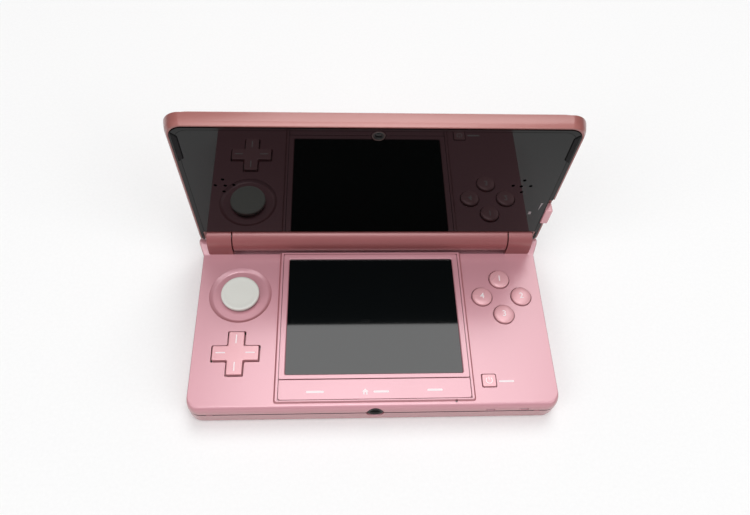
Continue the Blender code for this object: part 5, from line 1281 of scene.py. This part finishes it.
@dataclass
class Controls:
    """The sliding pad, the cross pad, the four face buttons and the power button."""

    shop: Workshop
    shell: BaseShell
    pad_radius: float = 7.0 * MM
    pad_low: float = 11.2 * MM
    pad_top: float = 12.7 * MM
    cross_half: float = 8.15 * MM
    cross_arm: float = 2.75 * MM
    cross_top: float = 12.1 * MM
    button_radius: float = 3.75 * MM
    button_top: float = 12.1 * MM

    def pad(self) -> None:
        """Make the sliding pad with its hollow top and its skirt."""
        stem, skirt = 2.0 * MM, 10.7 * MM
        box_low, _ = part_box("circle_pad_cap")
        foot = box_low[2]
        radius, low, top = self.pad_radius, self.pad_low, self.pad_top
        profile = [(stem, foot), (stem, 8.4 * MM), (skirt, 8.4 * MM), (skirt, 9.0 * MM),
                   (stem + 0.3 * MM, 9.15 * MM),
                   (stem, 9.25 * MM), (stem, low), (radius - 0.5 * MM, low),
                   (radius - 0.15 * MM, low + 0.12 * MM),
                   (radius, low + 0.4 * MM), (radius, top - 0.62 * MM),
                   (radius - 0.1 * MM, top - 0.25 * MM),
                   (radius - 0.35 * MM, top - 0.06 * MM), (radius - 0.65 * MM, top),
                   (radius - 1.0 * MM, top - 0.05 * MM), (radius - 1.5 * MM, top - 0.2 * MM),
                   (radius - 2.4 * MM, top - 0.34 * MM), (radius * 0.4, top - 0.43 * MM),
                   (radius * 0.1, top - 0.45 * MM)]
        shape = Shape.turned(profile, (-self.shell.control_x, self.shell.pad_y), 96)
        self.shop.build("sliding_pad", shape, PAD_GREY, "circle_pad", stands_for=["circle_pad_cap"],
                        slot="pad_grey", edge=0.0)

    def cross(self) -> None:
        """Make the cross pad with its four raised bars."""
        plan, edge = self.shell.cross_plan, 0.35 * MM
        low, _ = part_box("dpad")
        half, arm, top = self.cross_half, self.cross_arm, self.cross_top
        shape = Shape.layers([(plan(half, arm, 0.55 * MM), low[2]),
                              (plan(half, arm, 0.55 * MM), top - edge),
                              (plan(half - 0.1 * MM, arm - 0.1 * MM, 0.5 * MM), top - edge * 0.4),
                              (plan(half - edge, arm - edge, 0.35 * MM), top)])
        middle = (-self.shell.control_x, self.shell.cross_y)
        flange = Shape.rod(8.6 * MM, low[2], low[2] + 0.5 * MM, middle, 64)
        self.shop.build("cross_key", shape, KEY_PINK, "dpad", joins=[flange], stands_for=["dpad"],
                        slot="pearl_pink", edge=0.06 * MM)
        marks = Marks(self.shop, PALE_INK, 0.1 * MM)
        for turn in range(4):
            angle = math.pi / 2 * turn
            reach = 5.2 * MM
            place = (middle[0] + reach * math.cos(angle), middle[1] + reach * math.sin(angle))
            size = (3.4 * MM, 0.42 * MM) if turn % 2 == 0 else (0.42 * MM, 3.4 * MM)
            marks.bar(f"cross_bar_{turn}", place, size, top, "dpad")

    def buttons(self) -> None:
        """Make the four domed buttons with plain numerals."""
        marks = Marks(self.shop, PALE_INK, 0.05 * MM)
        for way, text, place in zip(("north", "east", "south", "west"), "1234", self.shell.face_places()):
            low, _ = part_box(f"face_button_{way}")
            foot, radius, top = low[2], self.button_radius, self.button_top
            profile = [(radius + 0.9 * MM, foot), (radius + 0.9 * MM, foot + 0.8 * MM),
                       (radius, foot + 0.9 * MM),
                       (radius, top - 0.6 * MM), (radius - 0.06 * MM, top - 0.42 * MM),
                       (radius - 0.22 * MM, top - 0.26 * MM), (radius - 0.55 * MM, top - 0.14 * MM),
                       (radius - 1.2 * MM, top - 0.06 * MM), (radius * 0.45, top - 0.01 * MM),
                       (radius * 0.3, top)]
            self.shop.build(f"button_{way}", Shape.turned(profile, place, 72), KEY_PINK,
                            f"face_button_{way}",
                            stands_for=[f"face_button_{way}"], slot="pink_gloss", edge=0.0)
            marks.numeral(f"numeral_{text}", text, place, 3.3 * MM, top, f"face_button_{way}")

    def power(self) -> None:
        """Make the power button with its sign, and the bar beside it."""
        x, y = self.shell.power
        low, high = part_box("power_button")
        plan = rounded(x - 2.4 * MM, x + 2.4 * MM, y - 2.25 * MM, y + 2.25 * MM, 0.6 * MM, 0.6 * MM, 6)
        skirt = Shape.box((x - 2.85 * MM, y - 2.7 * MM, low[2]),
                          (x + 2.85 * MM, y + 2.7 * MM, low[2] + 0.8 * MM))
        self.shop.build("power_key", Shape.slab(plan, low[2], high[2]), KEY_PINK,
                        "power_button",
                        joins=[skirt], stands_for=["power_button"], slot="pink_gloss", edge=0.2 * MM)
        marks = Marks(self.shop)
        marks.power_sign("power_sign", (x, y), 1.25 * MM, high[2], "power_button")
        marks.bar("power_bar", (46.4 * MM, -27.4 * MM), (5.4 * MM, 0.7 * MM), self.shell.deck_top, "base")

    def make(self) -> None:
        """Make every control of the deck."""
        self.pad()
        self.cross()
        self.buttons()
        self.power()


@dataclass
class Edges:
    """Sockets, sliders, buttons and the memory door round the edge of the base."""

    shop: Workshop
    repeats: Repeats

    def jack(self) -> None:
        """Make the black collar of the sound socket with its bore and its contacts."""
        low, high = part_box("headphone_jack")
        z, mouth = 7.1 * MM, -36.5 * MM
        rings = [(2.6 * MM, mouth), (2.9 * MM, mouth + 0.25 * MM), (2.9 * MM, low[1] + 3.2 * MM)]
        body = Shape.box((-3.5 * MM, low[1] + 2.6 * MM, low[2]), (3.5 * MM, high[1], z + 0.9 * MM))
        bore = Shape.turned([(2.1 * MM, mouth - 1 * MM), (2.1 * MM, mouth + 0.02 * MM),
                             (1.75 * MM, mouth + 0.5 * MM),
                             (1.75 * MM, high[1] - 1.3 * MM)], (0.0, z), 48, "Y")
        self.shop.build("sound_socket", Shape.turned(rings, (0.0, z), 56, "Y"), BLACK_ABS, "base", [bore],
                        [body],
                        stands_for=["headphone_jack"], slot="black_plastic", edge=0.06 * MM)
        spring = Shape.rod(0.28 * MM, low[1] + 1.5 * MM, low[1] + 6 * MM, (1.55 * MM, z), 20, "Y")
        self.shop.build("socket_contact", spring, NICKEL_STEEL, "base", edge=0.0, slot="steel")

    def sliders(self) -> None:
        """Make the two side sliders with fine ridges."""
        for node, side, travel, reach in (("volume_slider", -1, -24.0, 1.8),
                                          ("wireless_switch", 1, -24.0, 1.0)):
            self.shop.refined(node, f"{node}_knob", KEY_PINK, node, 0.15 * MM, "pink_gloss")
            ridges = self.repeats.row(f"{node}_ridges", KEY_PINK, count=4,
                                      start=(side * 65.2 * MM, (travel - reach) * MM, 4.6 * MM),
                                      step=(0.0, reach * 2 / 3 * MM, 0.0), radius=0.22 * MM, depth=1.3 * MM)
            self.shop.finish(ridges, KEY_PINK, node, slot="pink_gloss")

    def make(self) -> None:
        """Make every piece of the edges."""
        self.jack()
        self.sliders()
        for side in ("left", "right"):
            name = f"{side}_shoulder_button"
            self.shop.refined(name, f"{side}_trigger", PEARL_PINK, name, 0.45 * MM, "pearl_pink")
        self.shop.refined("sd_slot_cover", "memory_door", PEARL_PINK, "sd_slot_cover", 0.15 * MM,
                          "pearl_pink")
        self.shop.refined("charge_port", "charge_inlet", BLACK_ABS, "base", 0.1 * MM, "black_plastic")


@dataclass
class Lid:
    """The lid: its shells, window, cameras, speakers, bumpers, slider and hinge barrel."""

    shop: Workshop
    repeats: Repeats
    hinge: tuple[float, float, float] = (0.0, 30.9 * MM, 15.2 * MM)
    lean: float = 1.0
    half: float = 67.0 * MM
    reach: float = 65.7 * MM
    glass_front: float = -2.2 * MM
    back: float = 5.8 * MM
    rim_back: float = 2.8 * MM
    tip: float = 1.5 * MM
    foot: float = 6.0 * MM
    ear: float = 62.3 * MM
    corner: float = 6.0 * MM
    cover_extra: float = 3.0 * MM
    frame_half: float = 63.9 * MM
    frame_reach: float = 64.2 * MM
    barrel_radius: float = 5.6 * MM
    barrel_half: float = 52.6 * MM
    lens: Point = (0.0, 61.0 * MM)
    eye: Point = (17.5 * MM, 59.5 * MM)
    speaker: Point = (50.6, 35.6)

    @property
    def place(self) -> Matrix:
        """Return the turn and shift from the lid's own frame."""
        return Matrix.Translation(self.hinge) @ Matrix.Rotation(math.radians(self.lean), 4, "X")

    def outline(self, half: float, reach: float, foot: float, extra: float = 0.0) -> list[Point]:
        """Return a lid outline in its own X and Z.

        Args:
            half: half of its width.
            reach: the height of its upper edge.
            foot: the height of its lower edge.
            extra: what the upper corners' radius gains.

        Returns:
            Its points.
        """
        return rounded(-half, half, foot, reach, 0.8 * MM, self.corner + extra - (self.half - half) / 2, 16)

    def plate(self, outline: Sequence[Point], near: float, far: float) -> Shape:
        """Return a plate between two depths, in the lid's frame.

        Args:
            outline: its points in the lid's X and Z.
            near: its front.
            far: its back.

        Returns:
            The plate.
        """
        return Shape.slab(outline, near, far, "Y")

    def feet(self, near: float) -> Shape:
        """Return the space left free for the knuckles and the barrel.

        Args:
            near: the front of the space.

        Returns:
            The cutting shape.
        """
        return Shape.box((-self.ear, near, -4 * MM), (self.ear, 12 * MM, self.foot))

    def placed(self, shapes: Iterable[Shape]) -> list[Shape]:
        """Return shapes moved from the lid's frame into the world.

        Args:
            shapes: shapes in the lid's frame.

        Returns:
            The same shapes.
        """
        return [shape.moved(self.place) for shape in shapes]

    def build(self, name: str, shape: Shape, finish: Finish, cuts: Iterable[Shape] = (),
              joins: Iterable[Shape] = (), body: str = "lid", **options: object) -> bpy.types.Object:
        """Build a piece that is given in the lid's frame.

        Args:
            name: the piece's name.
            shape: its main shape.
            finish: its surface.
            cuts: shapes taken away.
            joins: shapes added first.
            body: the body that it rides on.
            **options: what the workshop's build() takes.

        Returns:
            The piece.
        """
        return self.shop.build(name, shape.moved(self.place), finish, body, self.placed(cuts),
                               self.placed(joins),
                               **options)

    def bumper_plan(self, grow: float) -> list[Point]:
        """Return the right bumper's outline.

        Args:
            grow: how far it is grown.

        Returns:
            Its points in the lid's X and Z.
        """
        outer, inner = 63.15 * MM, 61.45 * MM
        low, high, cut = 48.5 * MM, 62.0 * MM, 1.6 * MM
        return [(outer + grow, low - grow), (outer + grow, high + grow), (inner - grow, high - cut + grow),
                (inner - grow, low + cut - grow)]

    def notch(self) -> Shape:
        """Return the space of the depth slider."""
        return Shape.box((62.7 * MM, -8 * MM, 12.5 * MM), (140 * MM, 1.6 * MM, 27.3 * MM))

    def lens_hole(self) -> Shape:
        """Return the hole for the inner camera."""
        return Shape.rod(2.3 * MM, -6 * MM, 6 * MM, self.lens, 40, "Y")

    def eyes(self) -> list[tuple[str, Point]]:
        """Return the side and the place of each outer camera."""
        return [("left", (-self.eye[0], self.eye[1])), ("right", self.eye)]

    def shells(self) -> None:
        """Make the glossy outer cover and the rim in front of it."""
        start = self.rim_back + 0.3 * MM
        table = ((0.0, 0.23, 0.06, 0.0), (0.38, 0.0, 0.18, 0.15), (0.70, 0.17, 0.49, 0.4),
                 (0.90, 0.53, 0.75, 0.75),
                 (1.0, 1.0, 1.0, 1.0))
        layers = []
        for run, inset, drop, rise in smooth_table(table, 17):
            layers.append((self.outline(self.half - 3 * MM * max(inset, 0.0), self.reach - 6.5 * MM * drop,
                                        self.tip + 2.6 * MM * rise, self.cover_extra),
                           start + (self.back - start) * run))
        pocket = self.plate(rounded(-64.4 * MM, 64.4 * MM, 7.3 * MM, 60.5 * MM, 0.8 * MM, 4.7 * MM, 8),
                            self.rim_back, self.back - 1 * MM)
        tongue = Shape.box((-40.8 * MM, self.rim_back, 0.0), (40.8 * MM, 4.5 * MM, 8.6 * MM))
        eyes = [Shape.rod(3.3 * MM, self.rim_back, 9 * MM, place, 56, "Y") for _, place in self.eyes()]
        self.build("outer_cover", Shape.layers(layers, "Y"), PEARL_GLOSS,
                   [pocket, self.feet(start - 1 * MM), tongue] + eyes,
                   stands_for=["lid_outer_cover"], slot="pink_gloss", edge=0.15 * MM)
        front = self.glass_front + 0.3 * MM
        table = ((0.0, 1.0, 1.0), (0.28, 0.71, 0.38), (0.6, 0.54, 0.12), (1.0, 0.38, 0.0))
        layers = [(self.outline(self.half - 2.4 * MM * inset, self.reach - 0.8 * MM * drop, self.tip),
                   front + (self.rim_back - front) * run) for run, inset, drop in smooth_table(table, 9)]
        seat = self.plate(self.outline(64.1 * MM, 64.4 * MM, 6.5 * MM), -6 * MM, -0.1 * MM)
        ears = pair([Shape.box((62.95 * MM, -6 * MM, -4 * MM), (64.1 * MM, -0.1 * MM, 8.1 * MM))])
        core = Shape.box((-61.3 * MM, -6 * MM, 8.6 * MM), (61.3 * MM, 6 * MM, 61.6 * MM))
        lens = self.lens_hole()
        foot = Shape.box((-self.ear, -6 * MM, -4 * MM), (self.ear, 6 * MM, self.foot))
        # The rim takes the darker copy of the pearl paint: painted shade.
        self.build("lid_rim", Shape.layers(layers, "Y"), PEARL_RIM_SHADED,
                   [seat, core, foot, self.notch(), lens] + ears,
                   stands_for=["lid_rim_frame"], slot="pearl_pink", edge=0.12 * MM)

    def glass(self, grow: float, near: float, far: float) -> Shape:
        """Return the window's plate, grown by a gap.

        Args:
            grow: the gap.
            near: its front.
            far: its back.

        Returns:
            The plate.
        """
        return self.plate(rounded(-62.4 * MM - grow, 62.4 * MM + grow, 7.2 * MM - grow, 63.2 * MM + grow,
                                  0.8 * MM + grow, 4.5 * MM + grow, 16), near, far)

    def window(self) -> None:
        """Make the black frame and the window, with the openings through both."""
        front, behind = self.glass_front, -0.3 * MM
        lens = self.lens_hole()
        spaces = pair([self.plate(self.bumper_plan(0.1 * MM), -6 * MM, front + 0.8 * MM)])
        core = Shape.box((-59.8 * MM, -6 * MM, 8.5 * MM), (59.8 * MM, 4 * MM, 61.9 * MM))
        foot = Shape.box((-63.15 * MM, -6 * MM, -4 * MM), (63.15 * MM, 4 * MM, 6.7 * MM))
        frame_shape = self.plate(self.outline(self.frame_half, self.frame_reach, self.tip), front, behind)
        self.build("black_frame", frame_shape, PIANO_BLACK,
                   [self.glass(0.1 * MM, -6 * MM, front + 1 * MM), core, foot, self.notch(), lens.copy()]
                   + [space.copy() for space in spaces], stands_for=["lid_bezel"], slot="piano_black",
                   edge=0.1 * MM)
        holes = []
        for side in (-1, 1):
            for across, up in ((0.3, 3.3), (3.2, 0.1), (0.8, -3.4), (-3.0, 0.3), (-0.1, -0.1)):
                holes.append(Shape.rod(0.6 * MM, -6 * MM, 2 * MM,
                                       (side * (self.speaker[0] + across) * MM,
                                        (self.speaker[1] + up) * MM), 28, "Y"))
        self.build("window_glass", self.glass(0.0, front, front + 0.8 * MM), SCREEN_GLASS,
                   holes + [lens] + spaces,
                   stands_for=["lid_window"], slot="screen_glass", edge=0.08 * MM)
        marks = [("wedge_mark", [(60.1, 25.5), (60.1, 21.0), (60.9, 25.5)]),
                 ("off_mark", [(56.9, 18.6), (57.9, 18.6), (57.9, 20.2), (56.9, 20.2)])]
        for name, points in marks:
            shape = self.plate([(x * MM, z * MM) for x, z in points], front - 0.02 * MM, front + 0.05 * MM)
            self.build(name, shape, FAINT_INK, edge=0.0, slot="pad_grey")

    def cameras(self) -> None:
        """Make the inner lens and the two outer lenses in their rings."""
        front = self.glass_front
        centre = self.lens
        barrel = Shape.turned([(1.9 * MM, front + 3 * MM), (1.9 * MM, front + 0.2 * MM),
                               (1.35 * MM, front + 0.1 * MM),
                               (1.2 * MM, front + 0.5 * MM)], centre, 48, "Y")
        self.build("inner_lens_barrel", barrel, BLACK_ABS, stands_for=["inner_camera"],
                   slot="black_plastic", edge=0.0)
        ring = Shape.rod(2.1 * MM, front, front + 0.3 * MM, centre, 48, "Y")
        hollow = Shape.rod(1.8 * MM, front - 1 * MM, front + 1 * MM, centre, 48, "Y")
        self.build("inner_lens_ring", ring, LENS_RING, [hollow], edge=0.03 * MM, slot="black_plastic")
        lens = Shape.turned([(1.15 * MM, front + 0.5 * MM), (0.9 * MM, front + 0.3 * MM),
                             (0.5 * MM, front + 0.2 * MM),
                             (0.1 * MM, front + 0.17 * MM)], centre, 40, "Y")
        self.build("inner_lens", lens, SCREEN_GLASS, edge=0.0, slot="screen_glass")
        low, high = 4.2 * MM, self.back + 0.2 * MM
        board = Shape.box((-20.7 * MM, 3.0 * MM, 54.5 * MM), (20.7 * MM, 4.3 * MM, 59.8 * MM))
        eyes, wells = [], []
        for _, place in self.eyes():
            eyes.append(Shape.turned([(3.2 * MM, low), (3.2 * MM, high - 0.15 * MM), (3.05 * MM, high)],
                                     place, 56, "Y"))
            wells.append(Shape.turned([(1.9 * MM, high - 0.5 * MM), (2.5 * MM, high + 1 * MM)],
                                      place, 48, "Y"))
        self.build("outer_lens_rings", board, NICKEL_STEEL, wells, eyes, stands_for=["outer_camera_module"],
                   slot="steel", edge=0.0)
        for side, place in self.eyes():
            lens = Shape.turned([(1.85 * MM, high - 0.55 * MM), (1.5 * MM, high - 0.35 * MM),
                                 (0.8 * MM, high - 0.25 * MM),
                                 (0.1 * MM, high - 0.22 * MM)], place, 40, "Y")
            self.build(f"outer_lens_{side}", lens, SCREEN_GLASS, edge=0.0, slot="screen_glass")

    def barrel(self) -> None:
        """Make the hinge barrel with its tongue into the cover."""
        half, radius = self.barrel_half, self.barrel_radius
        shape = Shape.turned([(radius - 0.35 * MM, -half), (radius, -half + 0.3 * MM),
                              (radius, half - 0.3 * MM),
                              (radius - 0.35 * MM, half)], (0.0, 0.0), 96, "X")
        tongue = Shape.box((-40.6 * MM, 3.3 * MM, 2.8 * MM), (40.6 * MM, 4.3 * MM, 12 * MM))
        bore = Shape.rod(3.3 * MM, -70 * MM, 70 * MM, (0.0, 0.0), 48, "X")
        # The barrel takes the darker copy of the pearl paint: painted shade.
        self.build("barrel", shape, PEARL_SHADED, [bore], [tongue], stands_for=["hinge_barrel"],
                   slot="pearl_pink",
                   edge=0.06 * MM)

    def slider(self) -> None:
        """Make the depth slider with its grip ridges."""
        self.shop.refined("depth_slider", "depth_knob", KEY_PINK, "depth_slider", 0.35 * MM, "pink_gloss")
        low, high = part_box("depth_slider")
        ridges = self.repeats.row("depth_ridges", KEY_PINK, count=4,
                                  start=(high[0] - 0.05 * MM, low[1] + 1.9 * MM, low[2] + 2.2 * MM),
                                  step=(0.0, 0.0, 1.2 * MM), radius=0.22 * MM, depth=2.2 * MM,
                                  turn=(math.pi / 2, 0.0, 0.0))
        self.shop.finish(ridges, KEY_PINK, "depth_slider", slot="pink_gloss")

    def make(self) -> None:
        """Make the whole lid."""
        self.shells()
        self.window()
        self.cameras()
        self.barrel()
        self.slider()
        for side in ("left", "right"):
            self.shop.refined(f"lid_bumper_{side}", f"bumper_{side}", BLACK_RUBBER_AND_SHADE, "lid", 0.12 * MM,
                              "black_rubber")


@dataclass
class Interior:
    """Real surfaces for the model's own pieces that stay in view of an opening."""

    finishes: dict[str, Finish] = field(default_factory=lambda: {
        "cover_screw_left": NICKEL_STEEL, "cover_screw_right": NICKEL_STEEL, "battery_pack": BLACK_ABS,
        "mainboard": SOLDER_MASK, "cpu_shield": NICKEL_STEEL, "lower_lcd": NICKEL_STEEL,
        "game_card_connector": BLACK_ABS, "sd_card_socket": NICKEL_STEEL, "ir_window": PIANO_BLACK,
        "microphone": NICKEL_STEEL, "status_light_guide": LIGHT_GUIDE, "circle_pad_base": BLACK_ABS,
        "dpad_membrane": GREY_SILICONE, "face_button_membrane": GREY_SILICONE,
        "left_shoulder_pin": NICKEL_STEEL,
        "right_shoulder_pin": NICKEL_STEEL, "hinge_clutch": NICKEL_STEEL, "hinge_sleeve": NICKEL_STEEL,
        "upper_lcd": NICKEL_STEEL, "left_speaker": BLACK_ABS, "right_speaker": BLACK_ABS,
        "lid_flex_cable": SOLDER_MASK, "circle_pad_carrier": GREY_SILICONE, "dpad_pivot": GREY_SILICONE,
        "select_plunger": GREY_SILICONE, "home_plunger": GREY_SILICONE, "start_plunger": GREY_SILICONE,
        "stylus_barrel": BLACK_ABS, "stylus_tip": PAD_GREY})

    def make(self) -> None:
        """Give each piece its surface."""
        for name, finish in self.finishes.items():
            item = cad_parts[name]
            if not item.material_slots:
                item.data.materials.append(finish.material())
            for place in item.material_slots:
                place.material = finish.material()
            LOG.info("%s: %s", name, finish.name)


def main() -> None:
    """Build the picture's scene."""
    logging.basicConfig(level=logging.INFO, format="%(message)s")
    shop = Workshop()
    repeats = Repeats()
    Studio().make()
    shell = BaseShell(shop)
    shell.make()
    TouchScreen(shop).make()
    Controls(shop, shell).make()
    Edges(shop, repeats).make()
    Lid(shop, repeats).make()
    Interior().make()
    LOG.info("%d pieces", len(shop.made))


if __name__ == "__main__":
    main()
